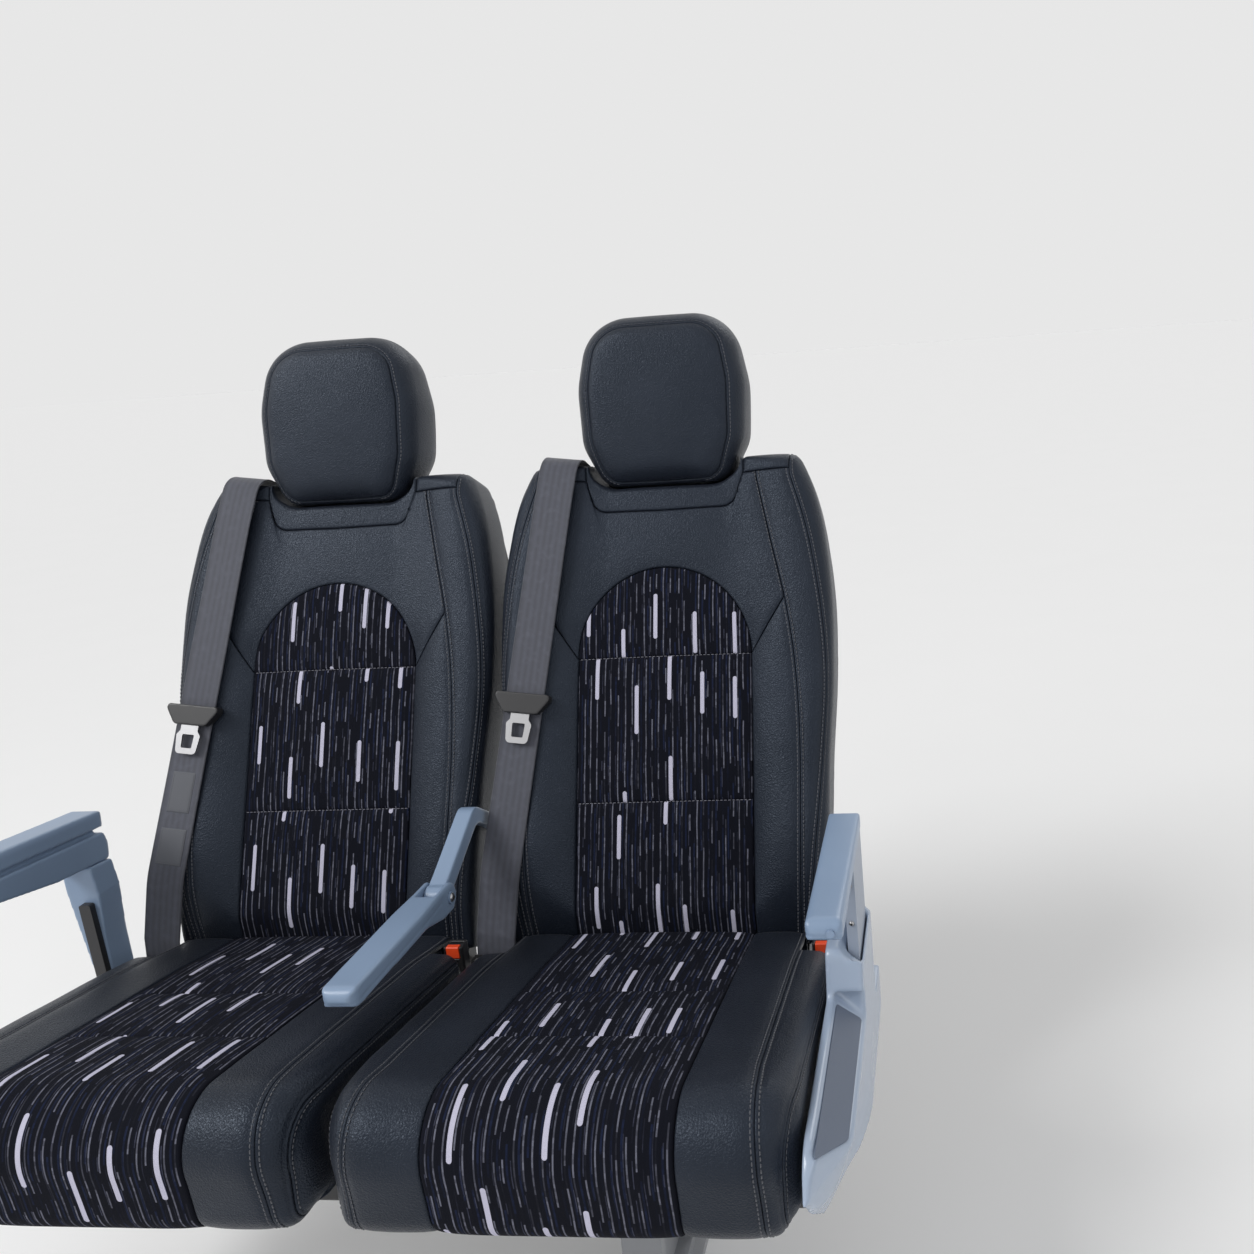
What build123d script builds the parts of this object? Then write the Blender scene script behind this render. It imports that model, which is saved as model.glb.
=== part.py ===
from build123d import *
import os
from math import atan2, cos, degrees, radians, sin, tan

os.makedirs("parts", exist_ok=True)

# Coach double passenger seat, window seat and aisle seat on one frame, in millimetres.
# +X points to the aisle, +Y to the seat backs, +Z up. The floor foot stands at the origin.

# Places of the two seats
cushion_half = 231
centre_gap = 18
seat_pitch = 2 * cushion_half + centre_gap
aisle_x = 0
window_x = aisle_x - seat_pitch
seat_places = [("window", window_x), ("aisle", aisle_x)]
crease_y = 175
crease_z = 400

# General clearances
rest_gap = 0.3
run_gap = 0.6

# Cushions
cushion_depth = 466
cushion_rise = 9.5
cushion_under = 55
cushion_front_r = 55
cushion_corner_r = 42
cushion_edge_r = 22
cushion_rear_gap = -2
notch_width = 36
notch_depth = 66

# Seat backs, drawn upright with the front face at y = 0 and the crease at z = 0
recline_rest = 24
back_depth = 70
shell_depth = 38
shell_wall = 3.5
shoulder_z = 650
pad_low_z = -18
shoulder_r = 28
crest = 20
insert_half = 122

# Backs from the bottom up: height, how much narrower than the cushion at each side, bolster rise
back_rows = [(z, cushion_half - narrower, rise) for z, narrower, rise in (
    (pad_low_z, 37, 2), (110, 27, crest), (215, 19, crest), (360, -1, crest), (500, 6, crest), (shoulder_z, 45, 14))]
yoke_drop = 54
yoke_r = 26
yoke_taper = 14

# Headrests
head_low_z = 607
head_tall = 250
head_half = 120
yoke_half = head_half + 2
head_thick = 112
head_front = -18
head_tilt = 12
post_x = 55
post_y = 40
post_r = 6
post_reach = 95

# Frame tubes
tube = 40
tube_rear_y = crease_y + 5
tube_front_y = -165
tube_aisle_x = cushion_half + 5
tube_window_x = window_x - cushion_half - 9
pan_thick = 12
pan_half = cushion_half - 26

# Recline pivots
pivot_y = crease_y + 52
pivot_z = crease_z - 84
pivot_r = 6
boss_r = 20
hoop_r = 11
hoop_leg_x = cushion_half - 59
lug_thick = 6
lug_x = hoop_leg_x + hoop_r - lug_thick / 2
side_plate = 5
side_play = 5
side_plate_x = lug_x + lug_thick / 2 + side_play + side_plate / 2
hoop_top_x = cushion_half - 81
hoop_top_z = 560

# Pedestal and floor foot
foot_length = 330
foot_width = 76
foot_thick = 10
foot_bolt_pitch = 280
foot_bolt_r = 5.5
leg_half = 24
leg_web = 12

# Wall bracket
wall_foot_reach = 66
wall_plate = 6
wall_foot_z = 249
wall_bolt_pitch = 260
wall_bolt_r = 5.5

# Aisle side cover and its insert
cover_x0 = tube_aisle_x
cover_width = 42
cover_front = crease_y - 471
cover_taper = 80
cover_top = crease_z + 34
cover_low = crease_z - 118
bevel = 34
hump_front = crease_y - 192
hump_top = crease_z + 84
hump_bevel = 26
slot_floor = cover_low + 8
insert_rear = crease_y - 209
insert_length = 244
insert_chamfer = 58
insert_margin = 6
insert_depth = 3

# Aisle armrest, which slides up and down in the cover
aisle_rest_x = tube_aisle_x + 30.5
plate_width = 108
plate_thick = 12
plate_y = crease_y - 118
stem_low = crease_z + 2
aisle_pad_z = crease_z + 174
aisle_pad_front = crease_y - 330
aisle_pad_length = 269
aisle_pad_x1 = tube_aisle_x + 38.5
aisle_pad_width = 38
aisle_pad_thick = 22

# Centre armrest, hinged on a stub that leaves the window seat's back
stub_x = -seat_pitch / 2 - 15.5
stub_width = 23
stub_tall = 22
stub_boss_r = 15
stub_foot_r = 10
stub_bend_y = crease_y + 66
stub_bend_z = crease_z + 176
centre_pivot_y = crease_y - 92
centre_pivot_z = crease_z + 104
centre_rest_x = stub_x - 1
centre_rest_width = 38
centre_rest_length = 240
centre_rest_thick = 22
centre_rest_slope = 1
centre_boss_r = 18
centre_pin_r = 5
centre_flip = 105

# Window armrest, fixed
window_rest_x = tube_window_x - 47
window_rest_width = 44
window_rest_length = 300
window_rest_rear = crease_y - 14
window_rest_slope = 6
window_pad_z = crease_z + 177
window_pad_thick = 22
window_groove = 7
window_housing = 38

# Belts
belt_width = 54
belt_thick = 1.8
belt_lean = 7.1
belt_mid_x = 45 - cushion_half
belt_mid_z = 330
strap_rise = 10
strap_off = 3.4
tongue_z = 305
tongue_off = 8
tongue_thick = 2.8
grip_front = 12
anchor_y = 4
anchor_z = -26
anchor_thick = 4

# Buckles
buckle_width = 26
buckle_thick = 22
buckle_tall = 60
buckle_x = cushion_half - notch_width / 2 + 2
buckle_y = crease_y - 40
buckle_z = crease_z - 16
button_width = 17
button_thick = 8
button_tall = 16
slot_width = 20
slot_thick = 5
slot_deep = 20


# Outlines and placing

def side_prism(points, radii, x0, x1):
    """Solid between x0 and x1 with a rounded outline of (y, z) points."""
    wire = FilletPolyline(*points, radius=radii, close=True)
    return extrude(Plane.YZ.offset(x0) * make_face(wire), x1 - x0)


def front_prism(points, radii, y0, y1):
    """Solid between y0 and y1 with a rounded outline of (x, z) points."""
    wire = FilletPolyline(*points, radius=radii, close=True)
    return extrude(Plane.XZ.offset(-y0) * make_face(wire), -(y1 - y0))


def plan_prism(points, radii, z0, z1):
    """Solid between z0 and z1 with a rounded outline of (x, y) points."""
    wire = FilletPolyline(*points, radius=radii, close=True)
    return extrude(Plane.XY.offset(z0) * make_face(wire), z1 - z0)


def block(x0, x1, y0, y1, z0, z1):
    """Box between two corners."""
    return Pos((x0 + x1) / 2, (y0 + y1) / 2, (z0 + z1) / 2) * Box(x1 - x0, y1 - y0, z1 - z0)


def rod_x(x0, x1, y, z, radius):
    """Round bar along X."""
    return Pos((x0 + x1) / 2, y, z) * Rot(0, 90, 0) * Cylinder(radius, x1 - x0)


def rod_z(x, y, z0, z1, radius):
    """Round bar along Z."""
    return Pos(x, y, (z0 + z1) / 2) * Cylinder(radius, z1 - z0)


def back_place(seat_x):
    """From the upright back's own frame to its place at rest."""
    return Pos(seat_x, crease_y, crease_z) * Rot(-recline_rest, 0, 0)


def upright_point(y, z):
    """A point (y, z) of the seat at rest, in the upright back's own frame."""
    lean = radians(recline_rest)
    dy = y - crease_y
    dz = z - crease_z
    return (dy * cos(lean) - dz * sin(lean), dz * cos(lean) + dy * sin(lean))


# Cushions and pans

def cushion(seat_x):
    low = crease_z - cushion_under + rest_gap
    rear = crease_y - cushion_rear_gap
    front = crease_y - cushion_depth
    rise = (cushion_depth - cushion_rear_gap) * tan(radians(cushion_rise))
    side = side_prism(
        [(rear, low), (rear, crease_z), (front, crease_z + rise), (front + 10, low)],
        [5, 14, cushion_front_r, 24], seat_x - cushion_half, seat_x + cushion_half)
    inner = cushion_half - notch_width
    notch_y = crease_y - notch_depth
    plan = plan_prism(
        [(-cushion_half, front), (cushion_half, front), (cushion_half, notch_y), (inner, notch_y + 8),
         (inner, rear), (-inner, rear), (-inner, notch_y + 8), (-cushion_half, notch_y)],
        [cushion_corner_r, cushion_corner_r, 6, 6, 8, 8, 6, 6], low - 5, crease_z + rise + 20)
    across = FilletPolyline(
        (-cushion_half, -200), (cushion_half, -200), (cushion_half, 0), (-cushion_half, 0),
        radius=[0, 0, cushion_edge_r, cushion_edge_r], close=True)
    slope = Plane(origin=(0, rear, crease_z), x_dir=(1, 0, 0),
                  z_dir=(0, -cos(radians(cushion_rise)), sin(radians(cushion_rise))))
    bar = extrude(slope.offset(-60) * make_face(across), cushion_depth * 1.1 + 60)
    return side & (Pos(seat_x, 0, 0) * plan) & (Pos(seat_x, 0, 0) * bar)


def pan(seat_x):
    """Seat pan over both tubes, its front stepped down to a lip that stops the cushion."""
    top = crease_z - cushion_under
    low = top - pan_thick
    front = tube_front_y - tube / 2 - 45
    rear = tube_rear_y + tube / 2 - 8
    body = plan_prism([(-pan_half, front), (pan_half, front), (pan_half, rear), (-pan_half, rear)],
                      [30, 30, 8, 8], low, top)
    hollow = plan_prism([(-pan_half + 4, front + 4), (pan_half - 4, front + 4),
                         (pan_half - 4, tube_front_y - tube / 2 - 6), (-pan_half + 4, tube_front_y - tube / 2 - 6)],
                        [26, 26, 3, 3], low, top - 4)
    return Pos(seat_x, 0, 0) * (body - hollow)


# Seat frame

def cross_tube(y):
    """Square tube across both seats, open at its ends."""
    top = crease_z - cushion_under - pan_thick
    outer = side_prism([(y - tube / 2, top - tube), (y + tube / 2, top - tube),
                        (y + tube / 2, top), (y - tube / 2, top)], 5, tube_window_x, tube_aisle_x)
    inner = block(tube_window_x - 1, tube_aisle_x + 1, y - tube / 2 + 3, y + tube / 2 - 3,
                  top - tube + 3, top - 3)
    return outer - inner


def side_arm(seat_x, side):
    """Plate that sits over the rear tube and carries a recline pivot."""
    top = crease_z - cushion_under - pan_thick
    y0 = tube_rear_y - tube / 2
    y1 = tube_rear_y + tube / 2
    x0 = seat_x + side * side_plate_x - side_plate / 2
    plate = side_prism(
        [(y0 - 30, top - tube - 14), (y1 + 6, top - tube - 14), (pivot_y + boss_r, pivot_z - 12),
         (pivot_y + boss_r, pivot_z + boss_r), (pivot_y - boss_r, pivot_z + boss_r), (y1, top), (y0 - 30, top)],
        [10, 20, 18, 18, 18, 3, 10], x0, x0 + side_plate)
    plate -= block(x0 - 1, x0 + side_plate + 1, y0, y1, top - tube, top)
    return plate - rod_x(x0 - 1, x0 + side_plate + 1, pivot_y, pivot_z, pivot_r)


def pivot_pins():
    """Shoulder bolts of the four recline pivots."""
    pins = []
    for _, seat_x in seat_places:
        for side in (-1, 1):
            inner = seat_x + side * (lug_x - lug_thick / 2 - 5)
            outer = seat_x + side * (side_plate_x + side_plate / 2 + 5)
            face_out = seat_x + side * (side_plate_x + side_plate / 2)
            face_in = seat_x + side * (lug_x - lug_thick / 2 - run_gap)
            pin = rod_x(min(inner, outer), max(inner, outer), pivot_y, pivot_z, pivot_r)
            pin += rod_x(min(face_out, outer), max(face_out, outer), pivot_y, pivot_z, 10)
            pin += rod_x(min(face_in, inner), max(face_in, inner), pivot_y, pivot_z, 10)
            pins.append(pin)
    return pins


def floor_foot():
    plate = plan_prism([(-foot_width / 2, -foot_length / 2), (foot_width / 2, -foot_length / 2),
                        (foot_width / 2, foot_length / 2), (-foot_width / 2, foot_length / 2)],
                       14, 0, foot_thick)
    for side in (-1, 1):
        plate -= rod_z(0, side * foot_bolt_pitch / 2, -1, foot_thick + 1, foot_bolt_r)
    return plate


def pedestal_leg():
    """Pressed leg of I section: broad under both tubes, narrow at its waist, broad at the foot."""
    top = crease_z - cushion_under - pan_thick - tube
    front = tube_front_y - tube / 2
    rear = tube_rear_y + tube / 2
    foot = foot_length / 2 - 48
    outline = [(-foot, foot_thick), (foot, foot_thick), (foot, foot_thick + 14), (62, 110),
               (66, top - 95), (rear, top - 22), (rear, top), (front, top), (front, top - 22),
               (-56, top - 95), (-60, 110), (-foot, foot_thick + 14)]
    radii = [3, 3, 10, 60, 60, 10, 3, 3, 10, 60, 60, 10]
    body = side_prism(outline, radii, -leg_half, leg_half)
    rim = 14
    inset = [(-foot + 40, foot_thick + rim), (foot - 40, foot_thick + rim), (62 - rim, 110),
             (66 - rim, top - 95), (rear - 62, top - rim), (front + 62, top - rim),
             (-56 + rim, top - 95), (-60 + rim, 110)]
    for x0, x1 in ((-leg_half - 1, -leg_web / 2), (leg_web / 2, leg_half + 1)):
        body -= side_prism(inset, [8, 8, 50, 50, 12, 12, 50, 50], x0, x1)
    return body


def wall_bracket():
    """Bent plate: it closes the tube ends and turns out onto the wall ledge."""
    top = crease_z - cushion_under - pan_thick
    front = tube_front_y - tube / 2 - 8
    rear = tube_rear_y + tube / 2 + 8
    x1 = tube_window_x
    plate = side_prism([(front, wall_foot_z), (rear, wall_foot_z), (rear, top), (front, top)],
                       [2, 2, 16, 16], x1 - wall_plate, x1)
    foot = plan_prism([(x1 - wall_foot_reach, front), (x1 - wall_plate, front),
                       (x1 - wall_plate, rear), (x1 - wall_foot_reach, rear)],
                      [14, 0, 0, 14], wall_foot_z, wall_foot_z + wall_plate)
    mid = (tube_front_y + tube_rear_y) / 2
    for side in (-1, 1):
        foot -= rod_z(x1 - wall_foot_reach / 2 - 4, mid + side * wall_bolt_pitch / 2,
                      wall_foot_z - 1, wall_foot_z + wall_plate + 1, wall_bolt_r)
    return plate + foot


# Aisle side cover

def cover_slot_box(gap):
    """Space of the armrest's upright, from above the cover to near its floor."""
    half_t = plate_thick / 2 + gap
    half_w = plate_width / 2 + gap
    return block(aisle_rest_x - half_t, aisle_rest_x + half_t, plate_y - half_w, plate_y + half_w,
                 slot_floor, hump_top + 400)


def bevel_plane():
    """Plane of the sloping outer face: X runs to the front, Y down the slope."""
    x_top = cover_x0 + cover_width - bevel
    return Plane(origin=(x_top, 0, cover_top), x_dir=(0, -1, 0), z_dir=(1, 0, 1))


def insert_outline(shrink):
    """Face of the inlay in the bevel plane, its lower edge shorter at the front."""
    run = bevel * 2 ** 0.5
    rear = -insert_rear + shrink
    front = rear + insert_length - 2 * shrink
    low = run - insert_margin - shrink
    high = insert_margin + shrink
    points = [(rear - 10, low), (front - insert_chamfer, low), (front, high), (rear, high)]
    return FilletPolyline(*points, radius=[3, 14, 2, 3], close=True)


def side_cover():
    tail = tube_rear_y + tube / 2
    tail_top = crease_z - cushion_under - pan_thick + 8
    hump_rear = plate_y + plate_width / 2 + 12
    outline = [(tail, cover_low), (tail, tail_top), (hump_rear, tail_top), (hump_rear, hump_top),
               (hump_front, hump_top), (hump_front - 14, cover_top), (cover_front + 14, cover_top),
               (cover_front, cover_top - 72), (cover_front + 30, cover_low)]
    body = side_prism(outline, [16, 12, 10, 14, 10, 8, 40, 30, 34], cover_x0, cover_x0 + cover_width)
    x1 = cover_x0 + cover_width
    body &= plan_prism([(cover_x0, cover_front - 1), (cover_x0 + 8, cover_front), (x1, cover_front + cover_taper),
                        (x1, tail), (cover_x0, tail)], [0, 14, 60, 8, 0], cover_low - 5, hump_top + 5)
    for top, cut, y0, y1 in ((cover_top, bevel, cover_front - 5, hump_front), (hump_top, hump_bevel, hump_front - 2, tail)):
        body -= front_prism([(x1 - cut, top), (x1 - cut, top + 5), (x1 + 5, top + 5), (x1 + 5, top - cut - 5)],
                            0, y0, y1)
    body -= extrude(bevel_plane() * make_face(insert_outline(0)), -insert_depth)
    return body - cover_slot_box(run_gap)


def cover_insert():
    return extrude(bevel_plane().offset(-insert_depth) * make_face(insert_outline(0.25)), insert_depth - 0.4)


# Aisle armrest

def aisle_upright():
    """Flat upright with a slightly slimmer stem, which runs in the cover's slot."""
    x0 = aisle_rest_x - plate_thick / 2
    x1 = aisle_rest_x + plate_thick / 2
    step = crease_z + 40
    half = plate_width / 2
    points = [(plate_y - half + 2, stem_low), (plate_y + half - 2, stem_low), (plate_y + half - 2, step),
              (plate_y + half, step), (plate_y + half, aisle_pad_z), (plate_y - half, aisle_pad_z),
              (plate_y - half, step), (plate_y - half + 2, step)]
    return side_prism(points, [6, 6, 0, 0, 0, 0, 0, 0], x0, x1)


def aisle_pad():
    """Rounded armrest pad: its top falls gently to the rear."""
    front = aisle_pad_front
    rear = front + aisle_pad_length
    low = aisle_pad_z
    x1 = aisle_pad_x1
    x0 = x1 - aisle_pad_width
    side = side_prism([(front, low), (rear, low), (rear, low + aisle_pad_thick - 3), (front, low + aisle_pad_thick)],
                      [7, 8, 10, 12], x0, x1)
    plan = plan_prism([(x0, front), (x1, front), (x1, rear), (x0, rear)], [9, 9, 12, 12], low - 5, low + 40)
    crown = front_prism([(x0, low), (x1, low), (x1, low + aisle_pad_thick), (x0, low + aisle_pad_thick)],
                        [5, 5, 7, 7], front - 5, rear + 5)
    return side & plan & crown


def aisle_button():
    """Recline button at the pad's front outer corner."""
    return Pos(aisle_pad_x1 - 12, aisle_pad_front - 1.2, aisle_pad_z + 10) * Rot(90, 0, 0) * Cylinder(4, 2.4)


# Seat backs

def back_section(z, half, rise):
    """Cross-section of the pad: flat rear, raised side bolsters, shallow middle."""
    shoulder = half - 26
    side = [
        Line((insert_half, 0), (insert_half + 12, -2)),
        ThreePointArc((insert_half + 12, -2), ((insert_half + 12 + shoulder) / 2, -rise * 0.72 - 0.6),
                      (shoulder, -rise)),
        ThreePointArc((shoulder, -rise), (half - 6, -rise + 8), (half, -rise + 28)),
        Line((half, -rise + 28), (half, back_depth)),
    ]
    left = [mirror(edge, about=Plane.YZ) for edge in side]
    middle = ThreePointArc((-insert_half, 0), (0, -4), (insert_half, 0))
    rear = Line((half, back_depth), (-half, back_depth))
    return Plane.XY.offset(z) * make_face(Curve() + [middle, rear] + side + left)


def outline_points(inset, low, top):
    """Right half of the back's outline as (half width, z), from the bottom up."""
    inner = [(half - inset, z) for z, half, _ in back_rows[1:-1]]
    return [(back_rows[0][1] - inset, low)] + inner + [(back_rows[-1][1] - inset, top)]


def back_outline(inset, low, top):
    right = outline_points(inset, low, top)
    points = right + [(-x, z) for x, z in reversed(right)]
    corner = shoulder_r - inset
    radii = [12] + [180] * (len(right) - 2) + [corner]
    return points, radii + list(reversed(radii))


def yoke_cut():
    """Recess between the shoulders for the headrest's lower edge."""
    low = shoulder_z - yoke_drop
    high = shoulder_z + yoke_drop
    half_low = yoke_half - yoke_taper
    half_high = yoke_half + yoke_taper
    return front_prism([(-half_low, low), (half_low, low), (half_high, high), (-half_high, high)],
                       [yoke_r, yoke_r, 0, 0], -crest - 40, back_depth + shell_depth + 50)


def back_pad():
    body = loft([back_section(*row) for row in back_rows])
    points, radii = back_outline(-4, pad_low_z, shoulder_z)
    body &= front_prism(points, [14] + [0] * (len(points) // 2 - 2) + [shoulder_r] * 2
                        + [0] * (len(points) // 2 - 2) + [14], -60, back_depth + 10)
    body &= side_prism([(back_depth + 5, pad_low_z), (back_depth + 5, shoulder_z + 5), (back_depth - 5, shoulder_z),
                        (-crest - 1, shoulder_z - 4), (-crest - 1, 85), (1, 25), (22, pad_low_z)],
                       [0, 0, 0, 34, 60, 30, 10], -300, 300)
    body -= yoke_cut()
    for x in (-post_x, post_x):
        body -= rod_z(x, post_y, head_low_z - post_reach - 6, shoulder_z, post_r + run_gap)
    return body


def back_shell():
    """Moulded rear cover, a shallow tray closed at its rim by the pad."""
    low = pad_low_z
    points, radii = back_outline(2, low, shoulder_z - 4)
    y0 = back_depth + rest_gap
    y1 = back_depth + shell_depth
    body = front_prism(points, radii, y0, y1)
    rim = body.faces().sort_by(Axis.Y)[-1].edges()
    body = fillet(rim, 10)
    points, radii = back_outline(2 + shell_wall, low + shell_wall, shoulder_z - 4 - shell_wall)
    inner = front_prism(points, radii, y0 - 1, y1 - shell_wall)
    roof = block(-150, 150, y0 - 2, y1, hoop_top_z + hoop_r + 6, shoulder_z)
    body -= inner - roof
    body -= yoke_cut()
    for x in (-hoop_leg_x, hoop_leg_x):
        body -= block(x - hoop_r - 2, x + hoop_r + 2, y0 - 1, y0 + 2 * hoop_r + 6, low - 5, low + 12)
    return body


def hoop_path():
    """Centre line of the hoop from one lug to the other."""
    y = back_depth + rest_gap + hoop_r
    low = upright_point(pivot_y, pivot_z)[1] + boss_r - 8
    return FilletPolyline((-hoop_leg_x, y, low), (-hoop_leg_x, y, 120), (-hoop_top_x, y, hoop_top_z),
                          (hoop_top_x, y, hoop_top_z), (hoop_leg_x, y, 120), (hoop_leg_x, y, low),
                          radius=[200, 60, 60, 200])


def back_hoop():
    """Round tube hoop, its ends pressed into lugs on the recline pivots."""
    path = hoop_path()
    start = path @ 0
    tube_face = Plane(origin=start, z_dir=path % 0) * Circle(hoop_r)
    body = sweep(tube_face, path=path)
    py, pz = upright_point(pivot_y, pivot_z)
    y = back_depth + rest_gap + hoop_r
    for side in (-1, 1):
        x0 = side * lug_x - lug_thick / 2
        points = [(py - 16, pz - boss_r), (py + 16, pz - boss_r), (py + boss_r, pz + 6),
                  (y + hoop_r, pad_low_z - 4), (y - hoop_r, pad_low_z - 4), (py - boss_r, pz + 6)]
        lug = side_prism(points, [14, 14, 10, 8, 8, 10], x0, x0 + lug_thick)
        body += lug
        body -= rod_x(x0 - 1, x0 + lug_thick + 1, py, pz, pivot_r + 0.05)
    return body


# Headrests

def head_shape():
    top = head_tall
    outline = front_prism(
        [(-86, 0), (86, 0), (head_half - 4, 60), (head_half, 140), (head_half - 18, top), (-head_half + 18, top),
         (-head_half, 140), (-head_half + 4, 60)],
        [34, 34, 60, 120, 62, 62, 120, 60], -5, head_thick + 5)
    side = side_prism([(0, 0), (head_thick - 14, 0), (head_thick, 90), (head_thick - 18, top), (6, top), (0, 90)],
                      [30, 26, 80, 40, 36, 120], -head_half - 5, head_half + 5)
    plan = plan_prism([(-head_half, 0), (head_half, 0), (head_half, head_thick), (-head_half, head_thick)],
                      [34, 34, 44, 44], -5, top + 5)
    return outline & side & plan


def head_place():
    return Pos(0, head_front, head_low_z) * Rot(head_tilt, 0, 0)


def head_pad():
    body = head_place() * head_shape()
    for x in (-post_x, post_x):
        body -= rod_z(x, post_y, head_low_z - 20, head_low_z + 60, post_r + rest_gap)
    return body


def head_posts():
    return [rod_z(x, post_y, head_low_z - post_reach, head_low_z + 60 - rest_gap, post_r) for x in (-post_x, post_x)]


# Belts, drawn in the upright back's frame and leaned outward at the bottom

def belt_lean_place():
    return Pos(belt_mid_x, 0, belt_mid_z) * Rot(0, belt_lean, 0) * Pos(0, 0, -belt_mid_z)


def webbing():
    """Flat strap from behind the shoulder, over it and down to the anchor."""
    front = -crest - strap_off
    end = anchor_z + rest_gap + belt_width / 2 * sin(radians(belt_lean))
    route = [(back_depth + 12, shoulder_z + strap_rise), (front + 4, shoulder_z + strap_rise),
             (front, shoulder_z - 60), (front, 78), (-6, -4), (anchor_y + 3, end)]
    centre = FilletPolyline(*[(y, z) for y, z in route], radius=[30, 60, 150, 20])
    strip = Plane.YZ.offset(-belt_width / 2) * make_face(offset(centre, belt_thick / 2, kind=Kind.INTERSECTION))
    return belt_lean_place() * extrude(strip, belt_width)


def belt_guide():
    """Moulded guide at the rear of the shoulder, around the strap."""
    z = shoulder_z + strap_rise
    body = block(-belt_width / 2 - 7, belt_width / 2 + 7, back_depth - 6, back_depth + 30, z - 3, z + 9)
    body = fillet(body.edges().filter_by(Axis.X), 3)
    body -= block(-belt_width / 2 - 1, belt_width / 2 + 1, back_depth - 8, back_depth + 13, z - 1.2, z + 1.2)
    return belt_lean_place() * body


def tongue_body():
    """Winged plastic grip through which the strap passes."""
    y = -crest - strap_off
    points = [(-38, 14), (-38, 6), (-24, -14), (24, -14), (38, 6), (38, 14)]
    body = front_prism(points, [4, 6, 8, 8, 6, 4], y - grip_front, y + 3)
    body -= block(-belt_width / 2 - 1, belt_width / 2 + 1, y - 1.2, y + 1.2, -30, 30)
    return belt_lean_place() * Pos(0, 0, tongue_z) * body


def tongue_plate():
    """Steel plate below the grip, with the latch's window."""
    y = -crest - strap_off - tongue_off
    points = [(-13, 0), (13, 0), (13, -8), (18, -14), (15, -40), (-15, -40), (-18, -14), (-13, -8)]
    body = front_prism(points, [0, 0, 4, 5, 6, 6, 5, 4], y - tongue_thick / 2, y + tongue_thick / 2)
    window = front_prism([(-9, -13), (9, -13), (8, -32), (-8, -32)], 2, y - 3, y + 3)
    return belt_lean_place() * Pos(0, 0, tongue_z - 14) * (body - window)


def belt_anchor():
    """Bent steel strap from the hoop's leg to the lower end of the webbing."""
    outer = belt_mid_x - (belt_mid_z - anchor_z) * tan(radians(belt_lean)) - belt_width / 2 - 2
    inner = -cushion_half + notch_width - 6
    rear = back_depth + hoop_r + 8
    tab = block(outer, inner, anchor_y - 2, rear, anchor_z - anchor_thick, anchor_z)
    return tab + block(inner, -hoop_leg_x - hoop_r - rest_gap, back_depth - 20, rear,
                       anchor_z - anchor_thick, anchor_z)


# Stub and centre armrest

def armrest_stub():
    """Arm that leaves the hoop between the backs and carries the centre armrest's pivot."""
    py, pz = upright_point(centre_pivot_y, centre_pivot_z)
    ey, ez = upright_point(stub_bend_y, stub_bend_z)
    rear = back_depth + rest_gap + hoop_r
    angle = atan2(ez - pz, ey - py)
    up = (-sin(angle) * stub_tall / 2, cos(angle) * stub_tall / 2)
    x0 = stub_x - window_x - stub_width / 2
    half = stub_tall / 2
    low_y = py - up[0] + (ez - half - pz + up[1]) / tan(angle)
    high_y = py + up[0] + (ez + half - pz - up[1]) / tan(angle)
    points = [(py - up[0], pz - up[1]), (low_y, ez - half), (rear + 12, ez - half),
              (rear + 12, ez + half), (high_y, ez + half), (py + up[0], pz + up[1])]
    body = side_prism(points, [0, 40, 10, 10, 40, 0], x0, x0 + stub_width)
    body += rod_x(x0, x0 + stub_width, py, pz, stub_boss_r)
    body = body - rod_x(x0 - 1, x0 + stub_width + 1, py, pz, centre_pin_r + 0.05)
    return body + rod_x(hoop_leg_x + hoop_r + rest_gap, x0 + 2, rear, ez, stub_foot_r)


def centre_armrest():
    """Armrest forked over the stub, drawn level with its pivot at the origin, then sloped."""
    half = centre_rest_width / 2
    top = centre_boss_r - 1
    end = -centre_rest_length
    low = top - centre_rest_thick
    side = side_prism([(8, top), (end, top), (end, low), (-70, low), (-22, -centre_boss_r), (8, -centre_boss_r)],
                      [0, 12, 9, 60, 12, 0], -half, half)
    side += rod_x(-half, half, 0, 0, centre_boss_r)
    plan = plan_prism([(-half + 2, end), (half - 2, end), (half, 30), (-half, 30)], [11, 11, 0, 0], -30, 30)
    across = front_prism([(-half, -30), (half, -30), (half, top), (-half, top)], [0, 0, 6, 6], end - 5, 30)
    body = side & plan & across
    gap = stub_width / 2 + run_gap
    offset_x = stub_x - centre_rest_x
    lean = radians(90 - (180 - centre_rest_slope - centre_flip - stub_angle()))
    reach = stub_tall / 2 + 1.5
    slant = [(40, -30), (40, 40), (-reach / cos(lean) - 40 * tan(lean), 40), (-reach / cos(lean), 0),
             (-centre_boss_r - 1, -6), (-centre_boss_r - 1, -30)]
    body -= side_prism(slant, 0, offset_x - gap, offset_x + gap)
    body -= rod_x(offset_x - gap, offset_x + gap, 0, 0, stub_boss_r + run_gap)
    body -= rod_x(-half - 1, half + 1, 0, 0, centre_pin_r)
    return Pos(centre_rest_x, centre_pivot_y, centre_pivot_z) * Rot(-centre_rest_slope, 0, 0) * body


def stub_hole():
    """Hole in the window seat's rear shell for the stub's foot."""
    rear = back_depth + rest_gap + hoop_r
    z = upright_point(stub_bend_y, stub_bend_z)[1]
    return rod_x(hoop_leg_x, hoop_leg_x + 60, rear, z, stub_foot_r + rest_gap)


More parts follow.
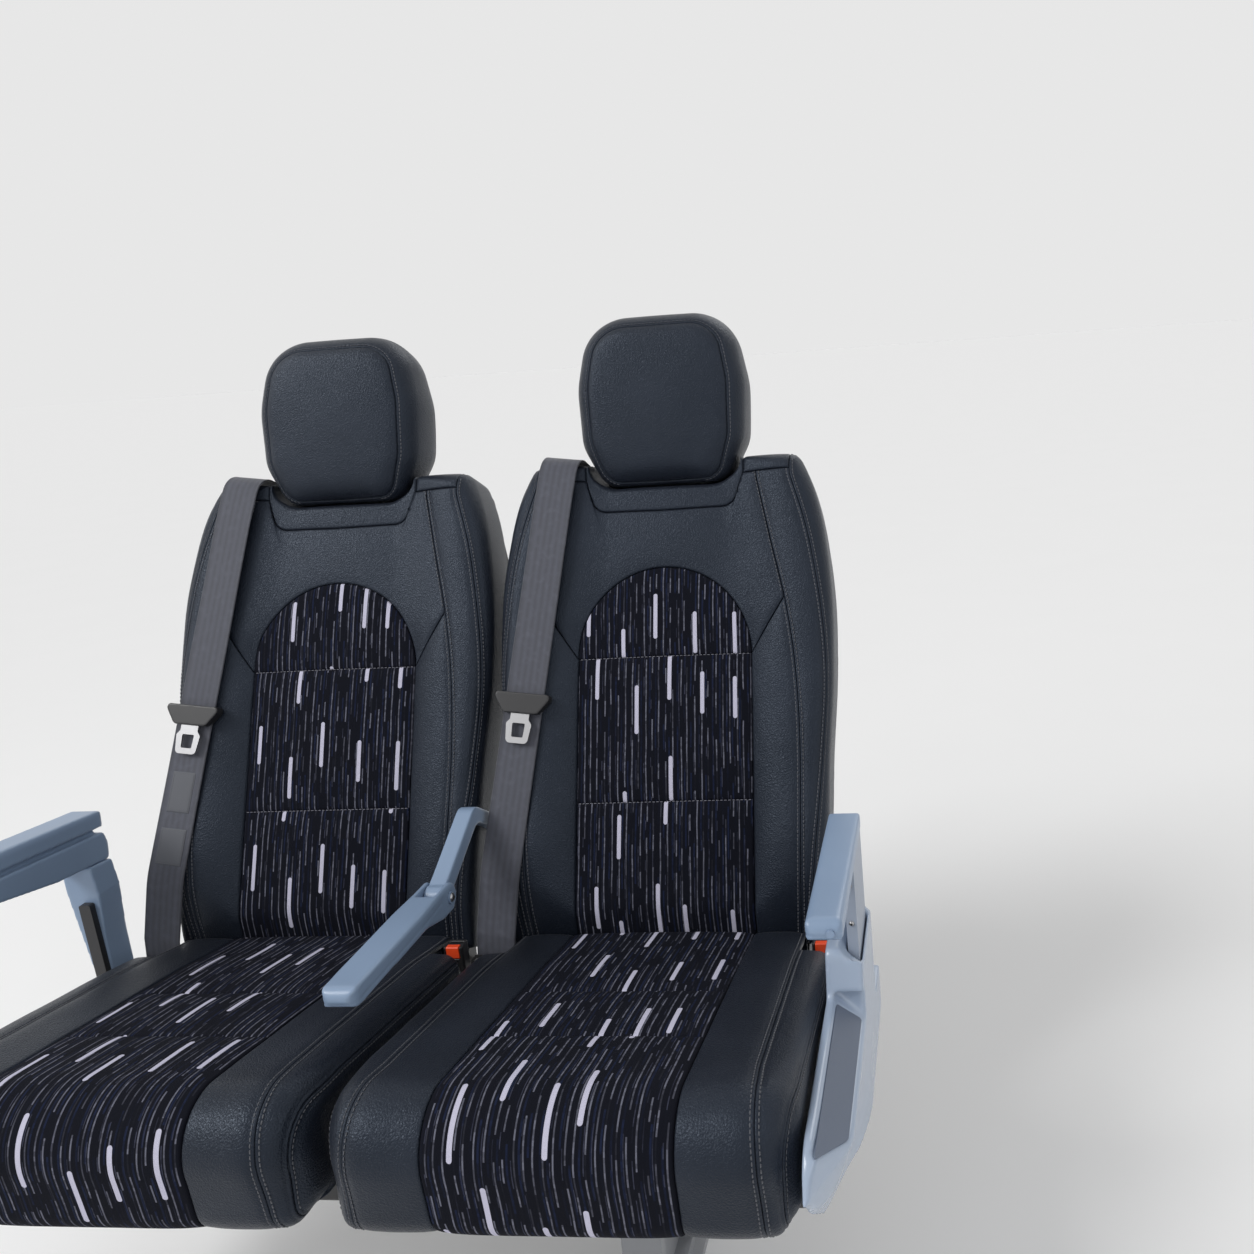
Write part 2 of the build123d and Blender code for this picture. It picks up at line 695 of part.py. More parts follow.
def stub_angle():
    """Slope of the stub from its pivot to its bend, in degrees above level."""
    return degrees(atan2(stub_bend_z - centre_pivot_z, stub_bend_y - centre_pivot_y))


def centre_pin():
    """Pivot bolt with its flat round head on the aisle side."""
    half = centre_rest_width / 2
    place = Pos(centre_rest_x, centre_pivot_y, centre_pivot_z)
    return place * (rod_x(-half, half, 0, 0, centre_pin_r) + rod_x(half, half + 2, 0, 0, 8))


# Window armrest

def window_place():
    """From the armrest's own frame, level with its pad's underside at z = 0 and its rear at y = 0."""
    return Pos(window_rest_x, window_rest_rear, window_pad_z) * Rot(-window_rest_slope, 0, 0)


def window_pad():
    half = window_rest_width / 2
    front = -window_rest_length
    top = window_pad_thick
    side = side_prism([(front, 0), (0, 0), (0, top), (front, top + 2)], [6, 5, 8, 12], -half, half)
    plan = plan_prism([(-half, front), (half, front), (half, 0), (-half, 0)], [10, 10, 9, 9], -5, top + 10)
    crown = front_prism([(-half, -5), (half, -5), (half, top + 2), (-half, top + 2)], [0, 0, 8, 8], front - 5, 5)
    return window_place() * (side & plan & crown)


def window_body():
    """Moulded body under the pad: a recessed neck, then a deeper housing that tapers forward."""
    half = window_rest_width / 2
    front = 12 - window_rest_length
    z1 = -rest_gap
    z0 = z1 - window_groove
    low = z0 - window_housing
    neck = side_prism([(front + 8, z0), (-12, z0), (-12, z1), (front + 8, z1)], 0, -half + 8, half - 8)
    housing = side_prism([(front, z0 - 18), (-90, low), (0, low), (4, z0 - 20), (-4, z0), (front, z0)],
                         [8, 30, 5, 8, 6, 8], -half + 2, half)
    plan = plan_prism([(-half, front - 5), (half, front - 5), (half, 5), (-half, 5)], 8, low - 5, z0 + 1)
    return window_place() * ((housing & plan) + neck)


def window_bracket():
    """Curved bracket from the wall plate up to the armrest's rear end, broad at its top."""
    plate = tube_window_x - wall_plate - rest_gap
    top = window_pad_z - window_groove - window_housing + 15
    x0 = window_rest_x - window_rest_width / 2 + 2
    x1 = window_rest_x + window_rest_width / 2
    low = wall_foot_z + 19
    points = [(plate, low), (plate, low + 40), (plate - 18, low + 72), (plate - 18, low + 160), (x1 + 6, top - 50),
              (x1, top), (x0, top), (x0 + 2, top - 50), (plate - 44, low + 100), (plate - 18, low)]
    body = front_prism(points, [3, 14, 40, 30, 8, 0, 0, 40, 50, 5], window_rest_rear - 44, window_rest_rear - 4)
    under = -2 * rest_gap - window_groove - window_housing
    return body - window_place() * block(-80, 80, -120, 60, under, under + 120)


def window_strip():
    """Dark strip along the bracket's front edge."""
    plate = tube_window_x - wall_plate - rest_gap
    low = wall_foot_z + 19
    top = window_pad_z - 90
    points = [(plate - 6, low + 60), (plate - 20, low + 90), (plate - 21, low + 160), (plate - 22, top),
              (plate - 38, top), (plate - 36, low + 106), (plate - 14, low + 60)]
    y1 = window_rest_rear - 44 - rest_gap
    return front_prism(points, [3, 30, 30, 3, 3, 30, 3], y1 - 9, y1)


# Buckles

def buckle(seat_x):
    """Upright housing: button pocket at its front top, tongue slot behind it."""
    x = seat_x + buckle_x
    y0 = buckle_y - buckle_thick / 2
    top = buckle_z + buckle_tall
    body = block(x - buckle_width / 2, x + buckle_width / 2, y0, y0 + buckle_thick, buckle_z, top)
    body = fillet(body.edges().filter_by(Axis.Z), 4)
    body = fillet(body.faces().sort_by(Axis.Z)[0].edges(), 2.5)
    body -= block(x - button_width / 2 - rest_gap, x + button_width / 2 + rest_gap, y0 - 1, y0 + button_thick,
                  top - button_tall, top + 1)
    slot_y = y0 + button_thick + 4
    return body - block(x - slot_width / 2, x + slot_width / 2, slot_y, slot_y + slot_thick,
                        top - slot_deep, top + 1)


def buckle_button(seat_x):
    x = seat_x + buckle_x
    y0 = buckle_y - buckle_thick / 2
    top = buckle_z + buckle_tall
    body = block(x - button_width / 2, x + button_width / 2, y0 - 0.5, y0 + button_thick - rest_gap,
                 top - button_tall + rest_gap, top + 0.8)
    return fillet(body.edges().filter_by(Axis.X).sort_by(Axis.Y)[:2], 2)


def buckle_stalk(seat_x):
    """Steel strap from the rear tube forward and up to the buckle."""
    x = seat_x + buckle_x
    base = crease_z - cushion_under - pan_thick + rest_gap
    top = buckle_z - rest_gap
    y = buckle_y
    points = [(tube_rear_y - 12, base), (tube_rear_y + 14, base), (tube_rear_y + 14, base + 4),
              (tube_rear_y - 10, base + 5), (y + 9, top - 8), (y + 9, top), (y - 9, top), (y - 9, top - 14)]
    return side_prism(points, [2, 2, 2, 14, 8, 0, 0, 12], x - 7, x + 7)


# Build

nodes = {}
for name, seat_x in seat_places:
    nodes["cushion_" + name] = cushion(seat_x)
    nodes["pan_" + name] = pan(seat_x)
    nodes["buckle_" + name] = buckle(seat_x)
    nodes["buckle_button_" + name] = buckle_button(seat_x)
    nodes["buckle_stalk_" + name] = buckle_stalk(seat_x)
    place = back_place(seat_x)
    nodes["back_pad_" + name] = place * back_pad()
    nodes["back_shell_" + name] = place * back_shell()
    nodes["back_hoop_" + name] = place * back_hoop()
    nodes["headrest_" + name] = place * head_pad()
    nodes["headrest_posts_" + name] = [place * post for post in head_posts()]
    nodes["webbing_" + name] = place * webbing()
    nodes["belt_guide_" + name] = place * belt_guide()
    nodes["tongue_body_" + name] = place * tongue_body()
    nodes["tongue_" + name] = place * tongue_plate()
    nodes["belt_anchor_" + name] = place * belt_anchor()
nodes["front_tube"] = cross_tube(tube_front_y)
nodes["rear_tube"] = cross_tube(tube_rear_y)
nodes["side_arms"] = [side_arm(seat_x, side) for _, seat_x in seat_places for side in (-1, 1)]
nodes["pivot_pins"] = pivot_pins()
nodes["floor_foot"] = floor_foot()
nodes["pedestal_leg"] = pedestal_leg()
nodes["wall_bracket"] = wall_bracket()
nodes["side_cover"] = side_cover()
nodes["cover_insert"] = cover_insert()
nodes["aisle_upright"] = aisle_upright()
nodes["aisle_pad"] = aisle_pad()
nodes["aisle_button"] = aisle_button()
nodes["armrest_stub"] = back_place(window_x) * armrest_stub()
nodes["back_shell_window"] -= back_place(window_x) * stub_hole()
nodes["centre_armrest"] = centre_armrest()
nodes["centre_pin"] = centre_pin()
nodes["window_pad"] = window_pad()
nodes["window_body"] = window_body()
nodes["window_bracket"] = window_bracket()
nodes["window_strip"] = window_strip()

for node, shape in nodes.items():
    pieces = shape if isinstance(shape, list) else [shape]
    solids = [solid for piece in pieces for solid in piece.solids()]
    export_step(solids[0] if len(solids) == 1 else Compound(solids), "parts/" + node + ".step")
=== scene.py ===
"""Looks of a coach double passenger seat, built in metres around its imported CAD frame."""
from math import cos, pi, radians, sin, tan

import bmesh
import bpy
import numpy as np
from mathutils import Matrix, Vector


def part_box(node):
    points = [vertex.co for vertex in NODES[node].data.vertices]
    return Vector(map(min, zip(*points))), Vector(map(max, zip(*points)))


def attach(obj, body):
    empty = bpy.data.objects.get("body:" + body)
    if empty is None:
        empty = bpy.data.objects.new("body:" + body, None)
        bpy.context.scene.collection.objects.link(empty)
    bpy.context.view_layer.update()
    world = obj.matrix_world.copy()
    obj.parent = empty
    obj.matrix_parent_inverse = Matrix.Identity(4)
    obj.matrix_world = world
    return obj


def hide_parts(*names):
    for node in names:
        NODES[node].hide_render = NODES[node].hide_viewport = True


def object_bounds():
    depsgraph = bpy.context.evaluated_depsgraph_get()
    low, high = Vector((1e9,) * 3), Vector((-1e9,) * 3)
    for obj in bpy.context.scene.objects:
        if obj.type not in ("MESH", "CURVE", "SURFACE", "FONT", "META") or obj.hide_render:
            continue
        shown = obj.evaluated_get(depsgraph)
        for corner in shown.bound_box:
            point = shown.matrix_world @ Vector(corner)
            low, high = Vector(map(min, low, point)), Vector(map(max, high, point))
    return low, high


bl_info = {
    "name": "Coach Double Seat",
    "version": (1, 0, 0),
    "blender": (4, 5, 0),
    "location": "3D View > Sidebar > Coach Seat",
    "description": "Dresses the packed frame of a coach double seat in leather, cloth and mouldings",
    "category": "Object",
}

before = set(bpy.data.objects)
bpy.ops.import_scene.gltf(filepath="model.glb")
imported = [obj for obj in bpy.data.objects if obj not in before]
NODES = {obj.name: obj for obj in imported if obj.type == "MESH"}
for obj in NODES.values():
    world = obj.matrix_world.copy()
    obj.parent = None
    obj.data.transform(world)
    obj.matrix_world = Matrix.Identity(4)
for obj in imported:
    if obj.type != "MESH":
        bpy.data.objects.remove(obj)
CAD_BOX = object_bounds()
MM = 0.001

# Places of the seats, in mm as in the CAD source
SEATS = {"window": -480.0, "aisle": 0.0}
CREASE_Y, CREASE_Z = 175.0, 400.0
LEAN = radians(24)

# Seat backs, upright: front face at y = 0, crease at z = 0, s the way up the cover and over its top
BACK_DEPTH = 70.0
SHOULDER_Z = 650.0
SHOULDER_R = 16.0
INSERT_HALF = 122.0
BACK_LOW = -18.0
TURN_R = 34.0
TURN_S = SHOULDER_Z - 4 - TURN_R
BOLSTER = 26.0
ROW_Z = [-18, 110, 215, 360, 500, 600, 650]
ROW_HALF = [210, 218, 223, 232, 227, 208, 188]
ROW_RISE = [2, 20, 20, 20, 20, 18, 14]
CLOTH_HALF = 121.0
ARCH_FOOT = 366.0
ARCH_TOP = 490.0
CHANNEL_S = 170.0
RECESS_LOW = 605.0
RECESS_HALF = 111.0
RECESS_SLOPE = .24
PAD_FOOT = -38.0
DIAGONAL_S = 440.0
SHOULDER_S = TURN_S + 8
YOKE_X = 113.0
YOKE_SEAM = [(YOKE_X, SHOULDER_S), (99, 574), (0, 572)]
BACK_HEART = np.array([0, 60.0, 320.0])

# Cushions: p is the way along the cover's middle line from its rear foot, REAR_P of it to the crease
CUSHION_HALF = 231.0
CUSHION_REAR = 177.0
CUSHION_FRONT = -291.0
CUSHION_LOW = 346.0
FRONT_LOW = 334.0
FRONT_HALF = 221.0
CUSHION_SLOPE = radians(9.5)
NOTCH_Y = 109.0
REAR_P = 46
CUSHION_HEART = np.array([0, -60.0, 400.0])

# Headrests, in their own tilted frame. HEAD_REACH is how far the front's middle is from its seam
HEAD_Y, HEAD_Z, HEAD_TILT = -18.0, 607.0, radians(12)
HEAD_TALL = 239.0
HEAD_HEART = np.array([0, 128.0])
HEAD_REACH = 92

# Seams of the covers: radius of the roll, its depth and how far off the stitches stand, if there are any
STITCH_GAP = 5.0
PLAIN = (3.0, 3.2, 0)
STITCHED = (1.6, 1.5, STITCH_GAP)
CLOTH_EDGE = (3.0, 3.4, 0)

# Covers and mouldings: thickness, padding's inset and mesh widths in mm, points that are one in metres
PANEL_THICK = 5.0
CORE_INSET, CORE_VOXEL = 8.0, 12.0
BACK_CORE_WIDTH, CUSHION_CORE_WIDTH = .95, .94
SMALL_VOXEL, BUTTON_VOXEL, COVER_VOXEL = 1.2, .6, 2.5
MERGE = 2e-5


# Curves and places

def bridged(t, width, start, end, start_slope, end_slope):
    """Smooth way from one value and slope to another, as t goes from 0 to 1 over a width."""
    return ((1 + 2 * t) * (1 - t) ** 2 * start + t * (1 - t) ** 2 * width * start_slope
            + t * t * (3 - 2 * t) * end + t * t * (t - 1) * width * end_slope)


def swung(a, b, angle):
    """Two coordinates turned by an angle."""
    return a * cos(angle) - b * sin(angle), a * sin(angle) + b * cos(angle)


def curve_through(xs, ys):
    """Smooth function through a table's points."""
    xs, ys = np.array(xs, float), np.array(ys, float)
    slopes = np.gradient(ys, xs)

    def at(x):
        x = np.clip(x, xs[0], xs[-1])
        i = np.clip(np.searchsorted(xs, x) - 1, 0, len(xs) - 2)
        h = xs[i + 1] - xs[i]
        return bridged((x - xs[i]) / h, h, ys[i], ys[i + 1], slopes[i], slopes[i + 1])
    return at


def smoothed(value, low, high):
    """0 below low and 1 above high, smooth between."""
    t = np.clip((value - low) / (high - low), 0, 1)
    return t * t * (3 - 2 * t)


def rounded(points, radii, step=2.0):
    """Dense 2D line through points with arcs at its corners."""
    points = [np.array(p, float) for p in points]
    line = [points[0]]
    for before, corner, after, radius in zip(points, points[1:], points[2:], radii):
        a, b = before - corner, after - corner
        a, b = a / np.linalg.norm(a), b / np.linalg.norm(b)
        half = np.arccos(np.clip(a @ b, -1, 1)) / 2
        reach = radius / tan(half)
        centre = corner + (a + b) / np.linalg.norm(a + b) * radius / sin(half)
        start, end = corner + a * reach - centre, corner + b * reach - centre
        sweep = pi - 2 * half
        turn = np.sign(start[0] * end[1] - start[1] * end[0])
        count = max(2, int(sweep * radius / step))
        for angle in turn * sweep * np.arange(count + 1) / count:
            line.append(centre + swung(*start, angle))
    return np.array(line + [points[-1]])


def lengths(line):
    """Way along a line to each of its points."""
    return np.concatenate([[0], np.cumsum(np.linalg.norm(np.diff(line, axis=0), axis=1))])


def sampled(line, at, way):
    """Points of a line at given ways along it."""
    return np.stack([np.interp(at, way, column) for column in line.T], -1)


def along(line, shares):
    """Points at shares of a line's length."""
    way = lengths(line)
    return sampled(line, np.asarray(shares) * way[-1], way)


def unit(vectors):
    return vectors / np.maximum(np.linalg.norm(vectors, axis=-1, keepdims=True), 1e-9)


def spaced(length, step, near=(0, .5, 1.1, 1.9, 2.9, 4.2, 6.0)):
    """Shares of a length in mm, close together near both ends."""
    near = [d for d in near if d < length * .4]
    count = max(1, round((length - 2 * near[-1]) / step))
    inner = np.linspace(near[-1], length - near[-1], count + 1)[1:-1]
    return np.concatenate([near, inner, length - np.array(near[::-1])]) / length


def leaned(points, seat_x):
    """From the upright back's frame in mm to its place at rest in metres."""
    x, y, z = np.moveaxis(points, -1, 0)
    return (np.stack([x, *swung(y, z, -LEAN)], -1) + [seat_x, CREASE_Y, CREASE_Z]) * MM


def upright(points, seat_x):
    """From metres at rest back to the upright back's frame in mm."""
    x, y, z = np.moveaxis(points / MM - [seat_x, CREASE_Y, CREASE_Z], -1, 0)
    return np.stack([x, *swung(y, z, LEAN)], -1)


def seated(points, seat_x):
    """From a seat's own mm to metres."""
    return (points + [seat_x, 0, 0]) * MM


def ripple(points, size):
    """Slow, even unevenness of hand-fitted leather, from -1 to 1."""
    x, y, z = (points[..., k] / size for k in range(3))
    return (np.sin(x + 1.7 * np.sin(y * .8 + z * .6)) + np.sin(1.3 * z - .9 * x + 1.3)
            + np.sin(1.9 * y + .7 * z + 2.1 * np.sin(x * .5))) / 3


# Meshes

class Skin:
    """Points, faces and cloth coordinates of a piece, gathered part by part in mm."""

    def __init__(self):
        self.points, self.faces, self.uvs, self.slots, self.count = [], [], [], [], 0

    def add(self, points, faces, uv=None, slot=0):
        points = np.asarray(points, float).reshape(-1, 3)
        self.points.append(points)
        self.uvs.append(np.zeros((len(points), 2)) if uv is None else uv.reshape(-1, 2))
        faces = (np.asarray(faces, int) + self.count).reshape(-1, np.shape(faces)[-1])
        self.faces += faces.tolist()
        self.slots += [slot] * len(faces)
        self.count += len(points)

    def slab(self, outer, inner, uv=None):
        """Closed sheet between an outer and an inner lattice of the same size."""
        rows, cols = outer.shape[:2]
        front = grid_faces(rows, cols)
        back = front[:, ::-1] + rows * cols
        ring = np.concatenate([np.arange(cols), np.arange(1, rows) * cols + cols - 1,
                               np.arange(cols - 2, -1, -1) + (rows - 1) * cols,
                               np.arange(rows - 2, 0, -1) * cols])
        after = np.roll(ring, -1)
        rim = np.stack([ring, ring + rows * cols, after + rows * cols, after], -1)
        uv = None if uv is None else np.concatenate([uv.reshape(-1, 2)] * 2)
        self.add(np.stack([outer, inner]), np.concatenate([front, back, rim]), uv)

    def moved(self, place):
        self.points = [place(points) for points in self.points]
        return self

    def build(self, name, finishes, place=lambda points: points * MM, shift=(0, 0)):
        """Welded piece of the gathered parts, put in its place in metres."""
        mesh = bpy.data.meshes.new(name)
        points = place(np.concatenate(self.points))
        mesh.from_pydata(points.tolist(), [], self.faces)
        uv = np.concatenate(self.uvs) * MM + np.array(shift)
        layer = mesh.uv_layers.new(name="cloth")
        corner = np.zeros(len(mesh.loops), int)
        mesh.loops.foreach_get("vertex_index", corner)
        layer.data.foreach_set("uv", uv[corner].ravel())
        mesh.polygons.foreach_set("material_index", self.slots)
        for plain_name in finishes:
            mesh.materials.append(finish(plain_name))
        weld(mesh)
        mesh.shade_smooth()
        return linked(name, mesh)


def linked(name, data):
    """New object in the scene."""
    thing = bpy.data.objects.new(name, data)
    bpy.context.scene.collection.objects.link(thing)
    return thing


def weld(mesh):
    """Joins doubled points, drops empty faces and turns every face outward."""
    work = bmesh.new()
    work.from_mesh(mesh)
    bmesh.ops.remove_doubles(work, verts=work.verts, dist=MERGE)
    bmesh.ops.dissolve_degenerate(work, edges=work.edges, dist=MERGE / 2)
    bmesh.ops.recalc_face_normals(work, faces=work.faces)
    work.to_mesh(mesh)
    work.free()


def grid_faces(rows, cols, closed=False):
    """Four-sided faces of a lattice, its rows closed into rings or open."""
    i, j = np.meshgrid(np.arange(rows - 1), np.arange(cols - (not closed)), indexing="ij")
    k = (j + 1) % cols
    faces = [i * cols + j, i * cols + k, (i + 1) * cols + k, (i + 1) * cols + j]
    return np.stack(faces, -1).reshape(-1, 4)


def normals(points, centre, closed=False):
    """Outward unit normals of a lattice, away from a point inside."""
    if closed:
        wide = np.concatenate([points[:, -2:-1], points, points[:, 1:2]], 1)
        across = np.gradient(wide, axis=1)[:, 1:-1]
    else:
        across = np.gradient(points, axis=1)
    cross = np.cross(across, np.gradient(points, axis=0))
    size = np.linalg.norm(cross, axis=-1, keepdims=True)
    middle = cross.sum((0, 1)) / np.linalg.norm(cross.sum((0, 1)))
    cross = np.where(size > 1e-3, cross / np.maximum(size, 1e-9), middle)
    if np.sum(np.einsum("ijk,ijk->ij", cross, points - centre) * size[..., 0]) < 0:
        cross = -cross
    return cross


def ways(grid):
    """Way of each lattice point along its column, from the first row."""
    steps = np.linalg.norm(np.diff(grid, axis=0), axis=-1)
    return np.concatenate([np.zeros((1, grid.shape[1])), np.cumsum(steps, 0)])


def edge_ways(points):
    """Distance of each lattice point from the lattice's left and right side, first and last row."""
    left, first = ways(points.transpose(1, 0, 2)).T, ways(points)
    return left, left[:, -1:] - left, first, first[-1:] - first


def sewn(way, seam):
    """How deep a panel dips near an edge: rolled into the seam, pressed under its stitches."""
    radius, depth, stitch = seam
    t = np.clip(way / radius, 0, 1)
    dip = depth * (1 - np.sqrt(1 - (1 - t) ** 2))
    if stitch:
        dip = dip + 1.1 * np.exp(-((way - stitch) / 1.4) ** 2)
    return dip


def panel(skin, points, centre, seams, puff=3.0, uv=None, spread=16.0, uneven=.35, stitched=()):
    """Padded slab over a lattice, with a seam or None for its left, right, first and last side.
    stitched holds (side, trim) of the sides that get a row of stitches."""
    out = normals(points, centre)
    dip = np.zeros(points.shape[:2])
    swell = np.full(points.shape[:2], puff)
    sides = edge_ways(points)
    for way, seam in zip(sides, seams):
        if seam:
            dip = np.maximum(dip, sewn(way, seam))
            swell = swell * (1 - np.exp(-way / spread))
    gathered = .45 * uneven * np.exp(-np.min(sides, axis=0) / 9) * ripple(points, 4.5)
    lift = swell - dip + uneven * ripple(points, 26.0) + gathered
    outer = points + out * lift[..., None]
    inner = points - out * (PANEL_THICK + np.minimum(dip, 1))[..., None]
    skin.slab(outer, inner, uv)
    for side, trim in stitched:
        stitched_edge(skin, outer, centre, side, trim=trim)
    return outer


def ruled(first, last, shares):
    """Lattice of rows between two lines with the same number of points."""
    return first[None] + (last - first)[None] * np.asarray(shares)[:, None, None]


def strip(first, last, way, shares):
    """Lattice of (across, way) between two edges that are given along the way."""
    lines = [np.stack(np.broadcast_arrays(edge, way), -1) for edge in (first, last)]
    return ruled(*lines, shares).transpose(1, 0, 2)


def stitches(skin, line, out, pitch=None, long=3.9, radius=.68, lift=.4):
    """Row of short threads along a 3D line with outward normals."""
    way = lengths(line)
    count = int(way[-1] // (pitch or settings()[1].stitch_pitch / MM))
    if count < 1:
        return
    at = (np.arange(count) + .5) * way[-1] / count
    middle, up = sampled(line, at, way), unit(sampled(out, at, way))
    ahead = unit(sampled(line, at + 1, way) - sampled(line, at - 1, way))
    side = np.cross(ahead, up)
    stations = ((-.5, .4, -.3), (-.3, .95, .2), (.3, .95, .2), (.5, .4, -.3))
    sides = ((1, 0), (0, 1), (-1, 0), (0, -1))
    rings = [middle + ahead * (share * long) + side * (radius * wide * a)
             + up * (lift + radius * (high + wide * .8 * b))
             for share, wide, high in stations for a, b in sides]
    faces = np.concatenate([grid_faces(4, 4, True), [[3, 2, 1, 0], [12, 13, 14, 15]]])
    everyone = (np.arange(count)[:, None, None] * 16 + faces[None]).reshape(-1, 4)
    skin.add(np.stack(rings, 1), everyone, slot=1)


def stitched_edge(skin, outer, centre, edge, gap=STITCH_GAP, trim=(0, 0)):
    """Stitches on a finished panel, at a distance from its left, right, first or last edge."""
    grid = outer if edge in ("first", "last") else outer.transpose(1, 0, 2)
    if edge in ("right", "last"):
        grid = grid[::-1]
    way, out = ways(grid), normals(grid, centre)
    columns = [k for k in range(trim[0], grid.shape[1] - trim[1]) if way[-1, k] > gap * 1.3]
    if len(columns) > 2:
        stitches(skin, *(np.array([sampled(lattice[:, k], gap, way[:, k]) for k in columns])
                         for lattice in (grid, out)))


def mesh_points(mesh):
    """Points of a mesh and their normals."""
    points, out = np.zeros(len(mesh.vertices) * 3), np.zeros(len(mesh.vertices) * 3, np.float32)
    mesh.vertices.foreach_get("co", points)
    mesh.vertex_normals.foreach_get("vector", out)
    return points.reshape(-1, 3), out.reshape(-1, 3)


def core(skin, node, back_to):
    """Plain padding inside the cover: the CAD solid's own shape, drawn in."""
    piece = voxel_copy(node, CORE_VOXEL, 1)
    points, out = mesh_points(piece.data)
    faces = [list(face.vertices) for face in piece.data.polygons if len(face.vertices) == 4]
    skin.add(back_to(points - out * CORE_INSET * MM), faces)
    bpy.data.objects.remove(piece)


def voxel_copy(node, voxel, smooth, name="work"):
    """Copy of a CAD node's shape as one even mesh with softened edges."""
    piece = linked(name, NODES[node].data.copy())
    evened(piece, voxel, smooth)
    return piece


def evened(piece, voxel, rounds):
    """Rebuilds a piece's mesh from even voxels, in mm, and smooths it."""
    even = piece.modifiers.new("even", "REMESH")
    even.mode = "VOXEL"
    even.voxel_size = voxel * MM
    soft = piece.modifiers.new("soft", "SMOOTH")
    soft.factor = .5
    soft.iterations = rounds
    graph = bpy.context.evaluated_depsgraph_get()
    mesh = bpy.data.meshes.new_from_object(piece.evaluated_get(graph))
    piece.modifiers.clear()
    piece.data = mesh
    mesh.materials.clear()
    mesh.shade_smooth()


def settled(piece, body, node=None):
    """Says what a piece rides on and hides the node it stands for."""
    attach(piece, body)
    if node:
        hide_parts(node)


def moulded(name, node, colour, body, voxel, rounds=2, carve=None, reshape=None, after=0):
    """Moulding with soft edges in a CAD node's shape, carved or reshaped in mm by functions of its points."""
    piece = voxel_copy(node, voxel, rounds, name)
    mesh = piece.data
    if carve or reshape:
        points, out = mesh_points(mesh)
        if carve:
            points = points + out * (carve(points / MM, out) * MM)[:, None]
        if reshape:
            points = reshape(points / MM) * MM
        mesh.vertices.foreach_set("co", points.ravel())
        mesh.update()
    if after:
        evened(piece, voxel, after)
    piece.data.materials.append(finish(colour))
    settled(piece, body, node)


def lathe(skin, place, profile, turns, slot):
    """Round piece about its own Z axis: profile of (radius, height) in mm."""
    angle = np.arange(turns) * 2 * pi / turns
    rows = np.array([[(r * cos(a), r * sin(a), h) for a in angle] for r, h in profile])
    flat = np.c_[rows.reshape(-1, 3), np.ones(rows.size // 3)] @ np.array(place).T
    skin.add(flat[:, :3], grid_faces(len(profile), turns, True), slot=slot)


def screw(skin, place, radius):
    """Domed screw head with a dark socket."""
    head = ((1.25, -.6), (1.25, .1), (1.05, .5), (1, 1.0), (.8, 1.5), (.52, 1.7))
    socket = ((.52, 1.7), (.45, .9), (.02, .8))
    for profile, turns, slot in ((head, 24, 0), (socket, 6, 1)):
        lathe(skin, place, [(radius * share, height) for share, height in profile], turns, slot)


def facing(x, y, z, direction):
    """Place in mm whose Z axis points in a direction."""
    turn = Vector(direction).to_track_quat("Z", "Y").to_matrix().to_4x4()
    return Matrix.Translation((x, y, z)) @ turn


# Finishes

class Value:
    """Socket in a finish's node tree that takes plain arithmetic."""

    def __init__(self, finish, socket):
        self.finish, self.socket = finish, socket

    def _with(self, kind, *others):
        return self.finish.maths(kind, self, *others)

    def __add__(self, other): return self._with("ADD", other)
    def __sub__(self, other): return self._with("SUBTRACT", other)
    def __mul__(self, other): return self._with("MULTIPLY", other)
    def __truediv__(self, other): return self._with("DIVIDE", other)
    def floor(self): return self._with("FLOOR")
    def fract(self): return self._with("FRACT")
    def abs(self): return self._with("ABSOLUTE")
    def sine(self): return self._with("SINE")
    def root(self): return self._with("SQRT")
    def over(self, limit): return self._with("GREATER_THAN", limit)
    def most(self, other): return self._with("MAXIMUM", other)
    def least(self, other): return self._with("MINIMUM", other)

    def step(self, low, high):
        """0 below low and 1 above high, smooth between; low may be the larger."""
        ends = (high, low, 1, 0) if low > high else (low, high, 0, 1)
        return self.finish.made("ShaderNodeMapRange", dict(enumerate((self, *ends))),
                                interpolation_type="SMOOTHSTEP")


